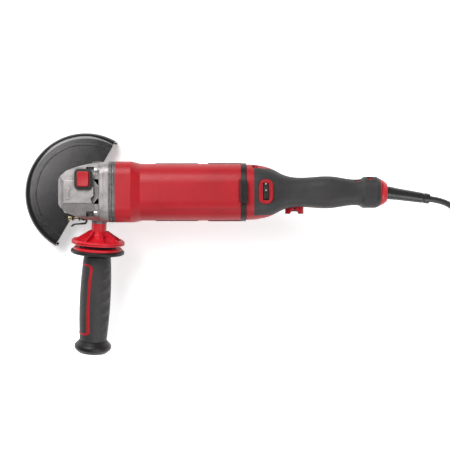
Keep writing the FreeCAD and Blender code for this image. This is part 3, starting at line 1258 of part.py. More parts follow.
def make_gland_ring():
    """Red ring at the end of the handle."""
    outer = lathe([(9.2, 0), (GLAND_R, 0), (GLAND_R, GLAND_L * 0.35), (GLAND_R - 3.4, GLAND_L),
                   (9.2, GLAND_L)], [0, 0.4, 1.5, 0.8, 0])
    return on_motor_axis(outer, shell_end)


def make_cord_boot():
    """Tapered strain relief, with its root held inside the collar."""
    root = rod(V(root_start, 0, AXIS_H), X_AXIS, 6.0, gland_end - root_start - 1.0)
    flange = rod(V(shell_end - 1.6, 0, AXIS_H), X_AXIS, 9.1, 2.2)
    profile = [(0, -2.0), (BOOT_R[0] - 0.4, -2.0), (BOOT_R[0], 4), (BOOT_R[0] - 0.7, 14),
               (BOOT_R[1] + 0.5, BOOT_L - 8), (BOOT_R[1], BOOT_L - 6), (BOOT_R[1] + 0.5, BOOT_L - 4),
               (BOOT_R[1] + 0.4, BOOT_L + 1.0), (0, BOOT_L + 1.0)]
    taper = lathe(profile, [0, 0, 3, 3, 0.5, 1, 0.8, 0.8, 0])
    return joined([root, flange, placed(taper, boot_base, boot_unit)])


# ---------------------------------------------------------------- side handle
hub_end = 23.5
damper_end = hub_end + 4.0
ring_end = damper_end + 2.8
core_flange_end = ring_end + 4.4
side_grip_start = core_flange_end + 3.2
side_grip_end = side_grip_start + SIDE_GRIP_L
side_cap_end = side_grip_end + SIDE_CAP_L


def on_side_handle(shape):
    """A shape made about Z from the boss face, laid along the side handle."""
    return placed(shape, side_origin, side_unit)


def make_side_stud():
    """M8 stud moulded into the side handle."""
    return on_side_handle(rod(V(0, 0, -13.0), Z_AXIS, HANDLE_THREAD_R, 60.0))


def make_side_hub():
    """Red hub with a dished hand-guard flange and gusset ribs."""
    bore = HANDLE_THREAD_R
    profile = [(bore, 0.2), (8.3, 0.2), (8.3, 10.4), (10.6, 13.0), (10.6, 16.0), (19.0, 19.2),
               (SIDE_FLANGE_R - 1.2, 19.2), (SIDE_FLANGE_R, 20.4), (SIDE_FLANGE_R, hub_end),
               (bore, hub_end)]
    hub = lathe(profile)
    ribs = []
    for i in range(8):
        rib = Part.Face(Part.makePolygon([V(8, -0.9, 9.0), V(11, -0.9, 9.0), V(27.2, -0.9, 19.4),
                                          V(8, -0.9, 19.4), V(8, -0.9, 9.0)])).extrude(V(0, 1.8, 0))
        ribs.append(turned(rib, 22.5 + 45 * i))
    waist = lathe([(SIDE_FLANGE_R - 1.6, 21.4), (SIDE_FLANGE_R + 1, 21.4),
                   (SIDE_FLANGE_R + 1, 22.2), (SIDE_FLANGE_R - 1.6, 22.2)])
    return on_side_handle(joined([hub] + ribs).cut(waist))


def make_side_damper():
    """Soft ring that keeps vibration out of the grip."""
    return on_side_handle(tube(V(0, 0, hub_end), Z_AXIS, 20.0, HANDLE_THREAD_R,
                               damper_end - hub_end))


def make_side_ring():
    """Thin red ring under the black flange."""
    return on_side_handle(lathe([(HANDLE_THREAD_R, damper_end), (26.2, damper_end),
                                 (27.0, damper_end + 0.8), (27.0, ring_end),
                                 (HANDLE_THREAD_R, ring_end)]))


def make_side_core():
    """Black core: flange, neck and the tube under the rubber."""
    end = side_grip_end + 3.0
    profile = [(HANDLE_THREAD_R, ring_end), (SIDE_FLANGE_R - 0.9, ring_end),
               (SIDE_FLANGE_R + 0.3, ring_end + 1.2), (SIDE_FLANGE_R + 0.3, core_flange_end - 1.0),
               (SIDE_FLANGE_R - 1.2, core_flange_end), (15.4, core_flange_end + 0.6),
               (13.4, side_grip_start), (SIDE_CORE_R, side_grip_start), (SIDE_CORE_R, end),
               (0, end), (0, 47.0), (HANDLE_THREAD_R, 47.0)]
    return on_side_handle(lathe(profile))


def side_grip_hull(grow):
    """Swelling body of the rubber grip with finger waves on the +X side."""
    r0, r1, r2 = [radius + grow for radius in SIDE_GRIP_R]
    mid = side_grip_start + SIDE_GRIP_L * 0.5
    curve = Part.Arc(V(r0, 0, side_grip_start), V(r1, 0, mid), V(r2, 0, side_grip_end)).toShape()
    edges = [
        curve,
        Part.LineSegment(V(r2, 0, side_grip_end), V(0, 0, side_grip_end)).toShape(),
        Part.LineSegment(V(0, 0, side_grip_end), V(0, 0, side_grip_start)).toShape(),
        Part.LineSegment(V(0, 0, side_grip_start), V(r0, 0, side_grip_start)).toShape(),
    ]
    body = Part.Face(Part.Wire(edges)).revolve(V(0, 0, 0), Z_AXIS, 360)
    waves = []
    for i in range(6):
        height = side_grip_start + SIDE_GRIP_L / 2 + (i - 2.5) * FINGER_PITCH
        wave = rod(V(r1 + 8.3, -30, height), Y_AXIS, 10.0, 60)
        waves.append(turned(wave, WAVE_ANGLE))
    return body.cut(waves)


def inlay_zone(margin):
    """Rounded frame on the side turned away from the motor, in which the red line lies."""
    half_z = SIDE_GRIP_L * 0.42 - margin
    half_y = 13.0 - margin
    mid = side_grip_start + SIDE_GRIP_L * 0.5
    corners = [V(0, -half_y, mid - half_z), V(0, half_y, mid - half_z),
               V(0, half_y, mid + half_z), V(0, -half_y, mid + half_z)]
    zone = Part.Face(rounded_wire(corners, 5.0 - margin * 0.8)).extrude(V(-FAR, 0, 0))
    return turned(zone, INLAY_ANGLE)


def make_side_grip_parts():
    """Rubber sleeve and the red line let into it."""
    sleeve = side_grip_hull(0)
    line = side_grip_hull(0.3).common(inlay_zone(0)).cut(inlay_zone(2.2))
    line = line.cut(side_grip_hull(-1.0))
    bore = rod(V(0, 0, 0), Z_AXIS, SIDE_CORE_R, FAR)
    return on_side_handle(sleeve.cut([bore, line])), on_side_handle(line)


def make_side_cap():
    """Black end cap."""
    profile = [(0, side_grip_end), (SIDE_CAP_R - 4.6, side_grip_end),
               (SIDE_CAP_R, side_grip_end + 5.0), (SIDE_CAP_R, side_cap_end - 5.0),
               (SIDE_CAP_R - 5.0, side_cap_end), (0, side_cap_end)]
    cap = lathe(profile, [0, 1.2, 3.5, 4.0, 4.0, 0])
    return on_side_handle(cap.cut(rod(V(0, 0, 0), Z_AXIS, SIDE_CORE_R, side_grip_end + 3.0)))


# ---------------------------------------------------------------- power cord
cord_r = CORD_D / 2
on_floor = floor_z + cord_r
coil_mean_r = (COIL_INNER_R + COIL_OUTER_R) / 2
coil_half_w = (COIL_OUTER_R - COIL_INNER_R) / 2 + cord_r
coil_height = CORD_D * COIL_LAYERS
coil_centre = V(cord_exit.x + COIL_AT[0], COIL_AT[1], 0)


def on_coil(angle, radius, z):
    """A point on the coil."""
    a = math.radians(angle)
    return coil_centre + V(radius * math.cos(a), radius * math.sin(a), z)


def coil_tangent(angle):
    """Direction of the winding, counter-clockwise from above."""
    a = math.radians(angle)
    return V(-math.sin(a), math.cos(a), 0)


entry = on_coil(COIL_ENTRY, COIL_OUTER_R, on_floor) - coil_tangent(COIL_ENTRY) * COIL_LEAD_IN
plug_joint = on_coil(COIL_EXIT, COIL_OUTER_R, on_floor) + coil_tangent(COIL_EXIT) * COIL_LEAD_OUT
plug_unit = coil_tangent(COIL_EXIT)


def make_coil():
    """The wound-up length of the cord, as one ring, with the cord's two ends leaving it."""
    mid = coil_mean_r
    ring = lathe([(mid - coil_half_w, floor_z), (mid + coil_half_w, floor_z),
                  (mid + coil_half_w, floor_z + coil_height),
                  (mid - coil_half_w, floor_z + coil_height)], cord_r * COIL_CORNER)
    ring.translate(coil_centre)
    inward = rod(entry, coil_tangent(COIL_ENTRY), cord_r, COIL_LEAD_IN + COIL_ROOT)
    outward = rod(on_coil(COIL_EXIT, COIL_OUTER_R, on_floor) - plug_unit * COIL_ROOT, plug_unit, cord_r,
                  COIL_LEAD_OUT + COIL_ROOT)
    return joined([ring, inward, outward])


def make_cord_tie():
    """Strap round the coil, a plain band."""
    outer = bar_x(-5.0, 5.0, coil_half_w + 1.6, coil_height / 2 + 0.8, 3.0, 0, 0)
    inner = bar_x(-6.0, 6.0, coil_half_w + 0.7, coil_height / 2 + 0.1, 2.6, 0, 0)
    strap = outer.cut(inner)
    floor_cut = block(-20, 20, -40, 40, -40, -coil_height / 2)
    strap = turned(strap.cut(floor_cut), TIE_ANGLE + 90)
    strap.translate(on_coil(TIE_ANGLE, coil_mean_r, floor_z + coil_height / 2))
    return strap


def make_power_cord():
    """The stretch of cord from the strain relief to the coil."""
    drop = on_floor - cord_exit.z
    points = [cord_exit]
    points += [V(cord_exit.x + x, y, cord_exit.z + share * drop) for x, y, share in CORD_ROUTE]
    points.append(entry)
    radii = [0.0]
    for i in range(1, len(points) - 1):
        before = points[i] - points[i - 1]
        after = points[i + 1] - points[i]
        turn = before.getAngle(after)
        shorter = min(before.Length, after.Length)
        radii.append(0.45 * shorter / math.tan(turn / 2))
    radii.append(0.0)
    path = rounded_wire(points, radii, closed=False)
    print("cord radii", [round(radius) for radius in radii[1:-1]])
    first = unit(points[1] - points[0])
    section = Part.Wire(Part.makeCircle(cord_r, points[0], first))
    cord = path.makePipeShell([section], True, False)
    length = path.Length
    print("cord run", round(length, 1), "volume ratio",
          round(cord.Volume / (math.pi * cord_r ** 2 * length), 4))
    return cord


def make_plug():
    """Plain two-pin plug with a tapered relief, lying on the same surface as the coil."""
    relief = lathe([(0, 0), (4.6, 0), (5.0, 5), (7.2, PLUG_RELIEF_L), (0, PLUG_RELIEF_L)])
    lift = on_floor - (floor_z + 8.0)
    body = bar_x(PLUG_RELIEF_L - 1, PLUG_RELIEF_L + 30, 17.0, 8.0, 7.9, 0, 0)
    body = body.cut(block(PLUG_RELIEF_L - 2, PLUG_RELIEF_L + 12, 12.5, 30, -20, 20))
    body = body.cut(block(PLUG_RELIEF_L - 2, PLUG_RELIEF_L + 12, -30, -12.5, -20, 20))
    body.translate(V(0, 0, -lift))
    turn = math.degrees(math.atan2(plug_unit.y, plug_unit.x))
    relief = placed(relief, V(0, 0, 0), X_AXIS)
    plug = turned(joined([relief, body]), turn)
    plug.translate(plug_joint)
    pins = []
    for y in (9.5, -9.5):
        pin = rod(V(PLUG_RELIEF_L + 26, y, -lift), X_AXIS, 2.4, 23.0)
        pin = turned(pin, turn)
        pin.translate(plug_joint)
        pins.append(pin)
    plug = plug.cut(pins)
    return plug, pins


# ---------------------------------------------------------------- fasteners
def make_head_screws():
    """Four identical screws from the front of the head into the motor housing."""
    head_r, head_t = HEAD_SCREW_HEAD
    return [screw(at, X_AXIS, HEAD_SCREW_R, plate_rear - HEAD_SCREW_X - 0.5, head_r, head_t)
            for at in head_screw_places()]


def make_retainer_screws():
    """Four identical screws up into the casting."""
    head_r, head_t = RETAINER_SCREW_HEAD
    under = HEAD_BOTTOM - RETAINER_T + head_t + 0.2
    return [screw(V(x, y, under), Z_AXIS, RETAINER_SCREW_R, 13.0, head_r, head_t)
            for x, y in retainer_screw_places()]


def make_top_bush():
    """Needle bush for the top of the spindle."""
    return tube(V(0, 0, AXIS_H + 5.0), Z_AXIS, TOP_BUSH_R, TOP_JOURNAL_R + RUN,
                bush_top - AXIS_H - 5.5)


# ---------------------------------------------------------------- build and write every node
def main():
    """Build all pieces and write one file for each node."""
    os.makedirs("parts", exist_ok=True)
    save("gear_housing", make_gear_housing())
    save("bearing_plate", make_bearing_plate())
    save("spindle_top_bush", make_top_bush())
    save("bearing_retainer", make_retainer())
    lower_outer, lower_inner = ball_bearing(LOWER_BEARING, z=NECK_BOTTOM + 4)
    front_outer, front_inner = ball_bearing(front_bearing, x=HEAD_REAR)
    rear_outer, rear_inner = ball_bearing(REAR_BEARING, x=rear_bearing_x)
    save("bearing_outer_rings", lower_outer, front_outer, rear_outer)
    save("spindle_bearing_inner", lower_inner)
    save("motor_bearing_inners", front_inner, rear_inner)
    save("spindle", make_spindle())
    save("bevel_gear", make_bevel_gear())
    save("bevel_pinion", make_bevel_pinion())
    save("inner_flange", make_inner_flange())
    save("clamp_nut", make_clamp_nut())
    save("guard_shell", make_guard_shell())
    save("guard_band", make_guard_band())
    save("guard_clamp_bolt", make_clamp_bolt(), make_lever_pin())
    save("guard_clamp_lever", make_clamp_lever())
    save("lock_bezel", make_lock_bezel())
    save("lock_button", make_lock_button())
    save("lock_pin_and_spring", make_lock_pin(), *make_lock_spring())
    save("motor_housing", make_motor_housing())
    save("vent_grilles", *make_vent_grilles())
    save("filter_frame", make_filter_frame())
    save("filter_latch", make_filter_latch())
    save("air_baffle", make_air_baffle())
    save("stator_core", make_stator_core())
    save("field_coils", *make_field_coils())
    save("armature_shaft", make_armature_shaft())
    save("armature_core", make_armature_core())
    save("armature_windings", *make_armature_windings())
    save("commutator", make_commutator())
    save("cooling_fan", make_cooling_fan())
    holders, brushes, springs = make_brush_parts()
    save("brush_holders_and_springs", *holders, *springs)
    save("carbon_brushes", *brushes)
    shells, grips = make_handle_parts()
    save("handle_shell_left", shells[0])
    save("handle_shell_right", shells[1])
    save("handle_grip_left", grips[0])
    save("handle_grip_right", grips[1])
    save("casing_screws", *make_head_screws(), *make_retainer_screws(), *make_handle_screws())
    save("dial_bezel", make_dial_bezel())
    save("speed_dial", make_speed_dial())
    save("speed_controller", make_speed_controller())
    save("switch_bezel", make_switch_bezel())
    save("rocker_button", make_rocker())
    save("switch_body", make_switch_body())
    save("cord_clamp", *make_cord_clamp())
    save("gland_ring", make_gland_ring())
    save("cord_boot", make_cord_boot())
    save("side_handle_stud", make_side_stud())
    save("side_handle_hub", make_side_hub())
    save("side_handle_damper", make_side_damper())
    save("side_handle_ring", make_side_ring())
    save("side_handle_core", make_side_core())
    grip, line = make_side_grip_parts()
    save("side_handle_grip", grip)
    save("side_handle_inlay", line)
    save("side_handle_cap", make_side_cap())
    save("power_cord", make_power_cord())
    save("cord_coil", make_coil())
    save("cord_tie", make_cord_tie())
    plug, pins = make_plug()
    save("plug_body", plug)
    save("plug_pins", *pins)


main()
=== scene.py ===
# %% [markdown]
# # Long-body angle grinder
# This file finishes a grinder whose metal and plastic parts come from a CAD model.  The CAD parts
# already have the right shape and place, so the work here is to light them, give each one its
# material, and add the soft and small pieces that CAD leaves plain: the power cord and its coil,
# and the marks on the speed dial.

# %% Load the frame
import json
import math

import bmesh
import bpy
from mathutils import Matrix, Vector


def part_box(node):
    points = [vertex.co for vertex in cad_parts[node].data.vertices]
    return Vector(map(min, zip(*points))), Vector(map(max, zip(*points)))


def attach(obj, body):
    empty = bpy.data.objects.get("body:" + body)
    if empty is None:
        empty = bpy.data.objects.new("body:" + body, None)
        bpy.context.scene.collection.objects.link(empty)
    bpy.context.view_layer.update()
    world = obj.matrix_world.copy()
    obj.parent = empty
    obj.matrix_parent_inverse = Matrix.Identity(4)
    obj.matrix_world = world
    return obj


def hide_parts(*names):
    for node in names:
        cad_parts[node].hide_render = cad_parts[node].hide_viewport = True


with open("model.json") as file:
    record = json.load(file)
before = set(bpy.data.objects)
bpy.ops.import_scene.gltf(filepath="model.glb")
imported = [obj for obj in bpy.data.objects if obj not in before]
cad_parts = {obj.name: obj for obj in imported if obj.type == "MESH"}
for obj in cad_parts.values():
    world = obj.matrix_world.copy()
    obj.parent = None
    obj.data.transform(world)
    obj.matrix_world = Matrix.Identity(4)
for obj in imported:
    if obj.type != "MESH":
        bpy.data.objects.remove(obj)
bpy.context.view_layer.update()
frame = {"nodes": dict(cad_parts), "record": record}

MM = 0.001
nodes = frame["nodes"]
slot_of = {part["node"]: part["material_slot"] for part in frame["record"]["subparts"]}

# %% [markdown]
# ## Where things are
# The reference places are worked out from the boxes of the CAD parts.  The motor axis is the middle
# of the armature shaft, and the floor is level with the lower edge of the disc guard.

# %% Reference places
shaft_low, shaft_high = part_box("armature_shaft")
guard_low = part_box("guard_shell")[0]
dial_low, dial_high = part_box("speed_dial")
axis_z = (shaft_low.z + shaft_high.z) / 2
floor_z = guard_low.z
print("motor axis at", round(axis_z / MM, 1), "mm, floor at", round(floor_z / MM, 1), "mm")

# %% [markdown]
# ## Camera
# The tool is looked at from straight above, from far enough away that it is almost in true plan.
# A long lens does that.  The camera looks down with its top edge towards +Y, so it needs no turn.

# %% Camera
CAMERA_HEIGHT = 1250 * MM          # above the motor axis
CAMERA_AT = (162.0 * MM, -36.5 * MM)
LENS = 89.3

camera_data = bpy.data.cameras.new("camera")
camera_data.lens = LENS
camera_data.sensor_width = 36.0
camera = bpy.data.objects.new("camera", camera_data)
camera.location = (CAMERA_AT[0], CAMERA_AT[1], axis_z + CAMERA_HEIGHT)
bpy.context.scene.collection.objects.link(camera)
bpy.context.scene.camera = camera
print("camera at", [round(value, 3) for value in camera.location])

# %% [markdown]
# ## Studio
# A pale floor and three large soft lights.  The light on the left is placed where the far half of
# the flat guard mirrors it towards the camera, which is what makes black gloss paint read as gloss.
# The even light of the world is kept low, because flat black tops would mirror it as grey.

# %% Floor and lights
FLOOR_HALF = 3.0
FLOOR_GAP = 0.2 * MM                # keeps the floor from showing through the guard's edge
FLOOR_GLOW = 0.35                   # lifts the shadows on the floor
WORLD_LIGHT = 0.28


def soft_light(name, location, target, size, power, tint=(1.0, 1.0, 1.0)):
    """Square area light that faces a target."""
    data = bpy.data.lights.new(name, "AREA")
    data.shape = "SQUARE"
    data.size = size
    data.energy = power
    data.color = tint
    light = bpy.data.objects.new(name, data)
    light.location = location
    aim = Vector(target) - Vector(location)
    light.rotation_euler = aim.to_track_quat("-Z", "Y").to_euler()
    bpy.context.scene.collection.objects.link(light)
    return light


floor_mesh = bpy.data.meshes.new("floor")
corners = [(-1, -1), (1, -1), (1, 1), (-1, 1)]
floor_mesh.from_pydata([(x * FLOOR_HALF, y * FLOOR_HALF, floor_z - FLOOR_GAP) for x, y in corners],
                       [], [(0, 1, 2, 3)])
floor = bpy.data.objects.new("floor", floor_mesh)
bpy.context.scene.collection.objects.link(floor)
floor_paint = bpy.data.materials.new("floor_paint")
floor_paint.use_nodes = True
floor_shader = floor_paint.node_tree.nodes["Principled BSDF"]
floor_shader.inputs["Base Color"].default_value = (0.93, 0.93, 0.93, 1.0)
floor_shader.inputs["Roughness"].default_value = 0.85
floor_shader.inputs["Specular IOR Level"].default_value = 0.1
floor_shader.inputs["Emission Color"].default_value = (1.0, 1.0, 1.0, 1.0)
floor_shader.inputs["Emission Strength"].default_value = FLOOR_GLOW
floor.data.materials.append(floor_paint)

tool_middle = (0.15, -0.02, axis_z)
soft_light("key", (-0.30, 0.80, 1.20), tool_middle, 0.9, 25.0)
soft_light("left_box", (-0.36, 0.27, 1.30), (-0.03, 0.03, floor_z), 0.42, 3.4, (1.0, 0.96, 0.97))
soft_light("fill", (0.75, -1.05, 1.0), tool_middle, 1.2, 15.0)
world = bpy.data.worlds.new("studio")
world.use_nodes = True
world.node_tree.nodes["Background"].inputs["Color"].default_value = (1.0, 1.0, 1.0, 1.0)
world.node_tree.nodes["Background"].inputs["Strength"].default_value = WORLD_LIGHT
bpy.context.scene.world = world
bpy.context.scene.view_settings.view_transform = "Standard"

# %% [markdown]
# ## Power cord
# A cord is a fixed length of something flexible, so its facts come first: 7 mm across, 1.8 m long,
# leaving the strain relief a little downwards, and ending in a two-pin plug.  The loose stretch is
# a short list of points, and the stored length is a coil of two layers, one winding inwards and the
# next outwards.  A NURBS curve of order 3 runs smoothly through that line of points.  Each point
# carries the cord's radius, with a bevel of 1, so that the curve's own box fits the cord.

# %% Cord facts
CORD_D = 7.0 * MM
EXIT = Vector((392.2086, -6.906, 41.263)) * MM
ROUTE = [                           # X beyond the exit, Y, and the share of the drop to the floor
    (10.3, -8.3, 0.041),
    (22.8, -12.0, 0.148),
    (32.8, -17.5, 0.327),
    (39.6, -25.0, 0.604),
    (41.0, -37.5, 0.822),
    (41.4, -51.5, 0.948),
    (43.7, -65.8, 1.0),
    (48.2, -78.3, 1.0),
]
COIL_CENTRE = Vector((EXIT.x + 105.3 * MM, -86.0 * MM))
COIL_OUTER_R = 51.0 * MM
COIL_INNER_R = 28.25 * MM
COIL_ENTRY = 200.0                 # degrees from +X, counter-clockwise from above
TURNS_A_LAYER = 3.25
POINTS_A_TURN = 16
CLIMB_TURNS = 0.28                  # share of a turn in which the cord climbs to the next layer
LEAD_OUT = 30.0 * MM
cord_z = floor_z + CORD_D / 2
print("cord exit", [round(value, 4) for value in EXIT])


# %% Coil points
def coil_point(turn):
    """A point of the winding, turn counted from where the cord enters."""
    layer = min(int(turn / TURNS_A_LAYER), 1)
    share = turn / TURNS_A_LAYER - layer
    if layer == 1:
        share = 1.0 - share
    radius = COIL_OUTER_R + (COIL_INNER_R - COIL_OUTER_R) * share
    climb = min(max((turn - TURNS_A_LAYER) / CLIMB_TURNS + 0.5, 0.0), 1.0)
    angle = math.radians(COIL_ENTRY + 360.0 * turn)
    return Vector((
        COIL_CENTRE.x + radius * math.cos(angle),
        COIL_CENTRE.y + radius * math.sin(angle),
        cord_z + CORD_D * climb,
    ))


coil_steps = int(2 * TURNS_A_LAYER * POINTS_A_TURN)
coil_line = [coil_point(i / POINTS_A_TURN) for i in range(coil_steps + 1)]
print("coil points", len(coil_line), "ends at", [round(value, 4) for value in coil_line[-1]])

# %% Cord curve
exit_angle = math.radians(COIL_ENTRY + 360.0 * 2 * TURNS_A_LAYER)
tangent = Vector((-math.sin(exit_angle), math.cos(exit_angle), 0.0))
foot = Vector((
    COIL_CENTRE.x + COIL_OUTER_R * math.cos(exit_angle),
    COIL_CENTRE.y + COIL_OUTER_R * math.sin(exit_angle),
    cord_z,
))
plug_joint = foot + tangent * LEAD_OUT
drop = cord_z - EXIT.z
cord_points = [EXIT]
cord_points += [Vector((EXIT.x + x * MM, y * MM, EXIT.z + share * drop)) for x, y, share in ROUTE]
cord_points += coil_line
cord_points += [foot + tangent * (LEAD_OUT * 0.4) + Vector((0, 0, CORD_D * 0.72)),
                foot + tangent * (LEAD_OUT * 0.75) + Vector((0, 0, CORD_D * 0.08)), plug_joint]

cord_data = bpy.data.curves.new("power_cord_line", "CURVE")
cord_data.dimensions = "3D"
cord_data.bevel_depth = 1.0
cord_data.bevel_resolution = 5
cord_data.resolution_u = 6
cord_data.use_fill_caps = True
spline = cord_data.splines.new("NURBS")
spline.points.add(len(cord_points) - 1)
for point, place in zip(spline.points, cord_points):
    point.co = (place.x, place.y, place.z, 1.0)
    point.radius = CORD_D / 2
spline.order_u = 3
spline.use_endpoint_u = True
cord = bpy.data.objects.new("mains_cord", cord_data)
bpy.context.scene.collection.objects.link(cord)
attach(cord, "root")
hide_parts("power_cord", "cord_coil")
print("cord points", len(cord_points))

# %% [markdown]
# ## Shader building blocks
# Several finishes share the same effects: the fine grain that a mould leaves, a slow drift of
# colour, worn edges and light scuffs.  Each effect is a node group with its own inputs, built once
# and used in many materials.  The groups put out only values and colours, and the Principled
# shader stays in the material itself.

# %% Group helper
def new_group(name, inputs, outputs):
    """Empty shader group with its sockets, and its input and output nodes."""
    group = bpy.data.node_groups.new(name, "ShaderNodeTree")
    for label, kind, value in inputs:
        socket = group.interface.new_socket(name=label, in_out="INPUT", socket_type=kind)
        socket.default_value = value
    for label, kind in outputs:
        group.interface.new_socket(name=label, in_out="OUTPUT", socket_type=kind)
    entry = group.nodes.new("NodeGroupInput")
    result = group.nodes.new("NodeGroupOutput")
    return group, entry, result


def add_node(tree, kind, **settings):
    """New node; a key that names a socket sets its value, any other key sets an attribute."""
    node = tree.nodes.new(kind)
    for key, value in settings.items():
        label = key.replace("_", " ").title()
        if label in node.inputs:
            node.inputs[label].default_value = value
        else:
            setattr(node, key, value)
    return node


def remap(tree, source, low, high, to_low=0.0, to_high=1.0):
    """Map a value from one range to another, clamped."""
    node = tree.nodes.new("ShaderNodeMapRange")
    node.inputs["From Min"].default_value = low
    node.inputs["From Max"].default_value = high
    node.inputs["To Min"].default_value = to_low
    node.inputs["To Max"].default_value = to_high
    tree.links.new(source, node.inputs["Value"])
    return node.outputs["Result"]


def calculate(tree, operation, first, second=None):
    """Math node with sockets or plain numbers as its operands."""
    node = tree.nodes.new("ShaderNodeMath")
    node.operation = operation
    for socket, value in zip(node.inputs, (first, second)):
        if value is None:
            continue
        if isinstance(value, bpy.types.NodeSocket):
            tree.links.new(value, socket)
        else:
            socket.default_value = value
    return node.outputs["Value"]


print("group helpers ready")

# %% [markdown]
# ### Moulded grain
# Plastic copies the surface of its mould, which is etched or sandblasted.  Two noises do that: one
# at the size of the etched grain, and a weaker one a few times larger, so it doesn't look printed.

# %% Moulded grain
grain_group, entry, result = new_group(
    "moulded_grain",
    [("Scale", "NodeSocketFloat", 2400.0), ("Softness", "NodeSocketFloat", 0.35)],
    [("Height", "NodeSocketFloat"), ("Fleck", "NodeSocketFloat")],
)
place = add_node(grain_group, "ShaderNodeTexCoord")
fine = add_node(grain_group, "ShaderNodeTexNoise", detail=2.0, roughness=0.6)
coarse = add_node(grain_group, "ShaderNodeTexNoise", detail=3.0, roughness=0.5)
grain_group.links.new(place.outputs["Object"], fine.inputs["Vector"])
grain_group.links.new(place.outputs["Object"], coarse.inputs["Vector"])
grain_group.links.new(entry.outputs["Scale"], fine.inputs["Scale"])
grain_group.links.new(calculate(grain_group, "MULTIPLY", entry.outputs["Scale"], 0.23),
                      coarse.inputs["Scale"])
coarse_share = calculate(grain_group, "MULTIPLY", coarse.outputs["Fac"],
                         entry.outputs["Softness"])
grain_group.links.new(calculate(grain_group, "ADD", fine.outputs["Fac"], coarse_share),
                      result.inputs["Height"])
grain_group.links.new(remap(grain_group, coarse.outputs["Fac"], 0.35, 0.65),
                      result.inputs["Fleck"])
print("group", grain_group.name, "with", len(grain_group.nodes), "nodes")

# %% [markdown]
# ### Edge wear
# Paint and castings wear where a corner rubs.  The Bevel node gives the normal of an imaginary
# rounded edge, so where it differs from the true normal there is an edge.  Noise breaks it up.

# %% Edge wear
wear_group, entry, result = new_group(
    "edge_wear",
    [("Radius", "NodeSocketFloat", 0.0006), ("Amount", "NodeSocketFloat", 0.5),
     ("Patch Scale", "NodeSocketFloat", 160.0)],
    [("Mask", "NodeSocketFloat")],
)
place = add_node(wear_group, "ShaderNodeTexCoord")
rounded = add_node(wear_group, "ShaderNodeBevel", samples=4)
surface = add_node(wear_group, "ShaderNodeNewGeometry")
patches = add_node(wear_group, "ShaderNodeTexNoise", detail=4.0, roughness=0.7)
likeness = add_node(wear_group, "ShaderNodeVectorMath", operation="DOT_PRODUCT")
wear_group.links.new(entry.outputs["Radius"], rounded.inputs["Radius"])
wear_group.links.new(rounded.outputs["Normal"], likeness.inputs[0])
wear_group.links.new(surface.outputs["Normal"], likeness.inputs[1])
wear_group.links.new(place.outputs["Object"], patches.inputs["Vector"])
wear_group.links.new(entry.outputs["Patch Scale"], patches.inputs["Scale"])
edge = remap(wear_group, likeness.outputs["Value"], 0.995, 0.93)
patchy = remap(wear_group, patches.outputs["Fac"], 0.38, 0.62)
worn = calculate(wear_group, "MULTIPLY", edge, patchy)
wear_group.links.new(calculate(wear_group, "MULTIPLY", worn, entry.outputs["Amount"]),
                     result.inputs["Mask"])
print("group", wear_group.name, "with", len(wear_group.nodes), "nodes")

# %% [markdown]
# ### Colour drift and scuffs
# No moulded or cast part is one flat colour.  Drift mixes two close colours with a slow noise.
# Scuffs are noises stretched thin, which leave short streaks where a surface has been wiped.

# %% Colour drift
drift_group, entry, result = new_group(
    "colour_drift",
    [("Colour A", "NodeSocketColor", (0.5, 0.5, 0.5, 1.0)),
     ("Colour B", "NodeSocketColor", (0.4, 0.4, 0.4, 1.0)),
     ("Scale", "NodeSocketFloat", 30.0)],
    [("Colour", "NodeSocketColor"), ("Mask", "NodeSocketFloat")],
)
place = add_node(drift_group, "ShaderNodeTexCoord")
slow = add_node(drift_group, "ShaderNodeTexNoise", detail=5.0, roughness=0.62)
mix = add_node(drift_group, "ShaderNodeMix", data_type="RGBA")
drift_group.links.new(place.outputs["Object"], slow.inputs["Vector"])
drift_group.links.new(entry.outputs["Scale"], slow.inputs["Scale"])
share = remap(drift_group, slow.outputs["Fac"], 0.36, 0.64)
drift_group.links.new(share, mix.inputs["Factor"])
drift_group.links.new(entry.outputs["Colour A"], mix.inputs[6])
drift_group.links.new(entry.outputs["Colour B"], mix.inputs[7])
drift_group.links.new(mix.outputs[2], result.inputs["Colour"])
drift_group.links.new(share, result.inputs["Mask"])
print("group", drift_group.name, "with", len(drift_group.nodes), "nodes")

# %% Scuffs
scuff_group, entry, result = new_group(
    "scuffs",
    [("Scale", "NodeSocketFloat", 90.0), ("Amount", "NodeSocketFloat", 0.3)],
    [("Mask", "NodeSocketFloat")],
)
place = add_node(scuff_group, "ShaderNodeTexCoord")
total = None
for stretch, turn in (((1.0, 14.0, 6.0), 0.5), ((12.0, 1.2, 7.0), -0.35)):
    lay = add_node(scuff_group, "ShaderNodeMapping")
    lay.inputs["Scale"].default_value = stretch
    lay.inputs["Rotation"].default_value = (0.0, 0.0, turn)
    streak = add_node(scuff_group, "ShaderNodeTexNoise", detail=3.0, roughness=0.55)
    scuff_group.links.new(place.outputs["Object"], lay.inputs["Vector"])
    scuff_group.links.new(lay.outputs["Vector"], streak.inputs["Vector"])
    scuff_group.links.new(entry.outputs["Scale"], streak.inputs["Scale"])
    band = remap(scuff_group, streak.outputs["Fac"], 0.66, 0.74)
    total = band if total is None else calculate(scuff_group, "MAXIMUM", total, band)
scuff_group.links.new(calculate(scuff_group, "MULTIPLY", total, entry.outputs["Amount"]),
                      result.inputs["Mask"])
print("group", scuff_group.name, "with", len(scuff_group.nodes), "nodes")
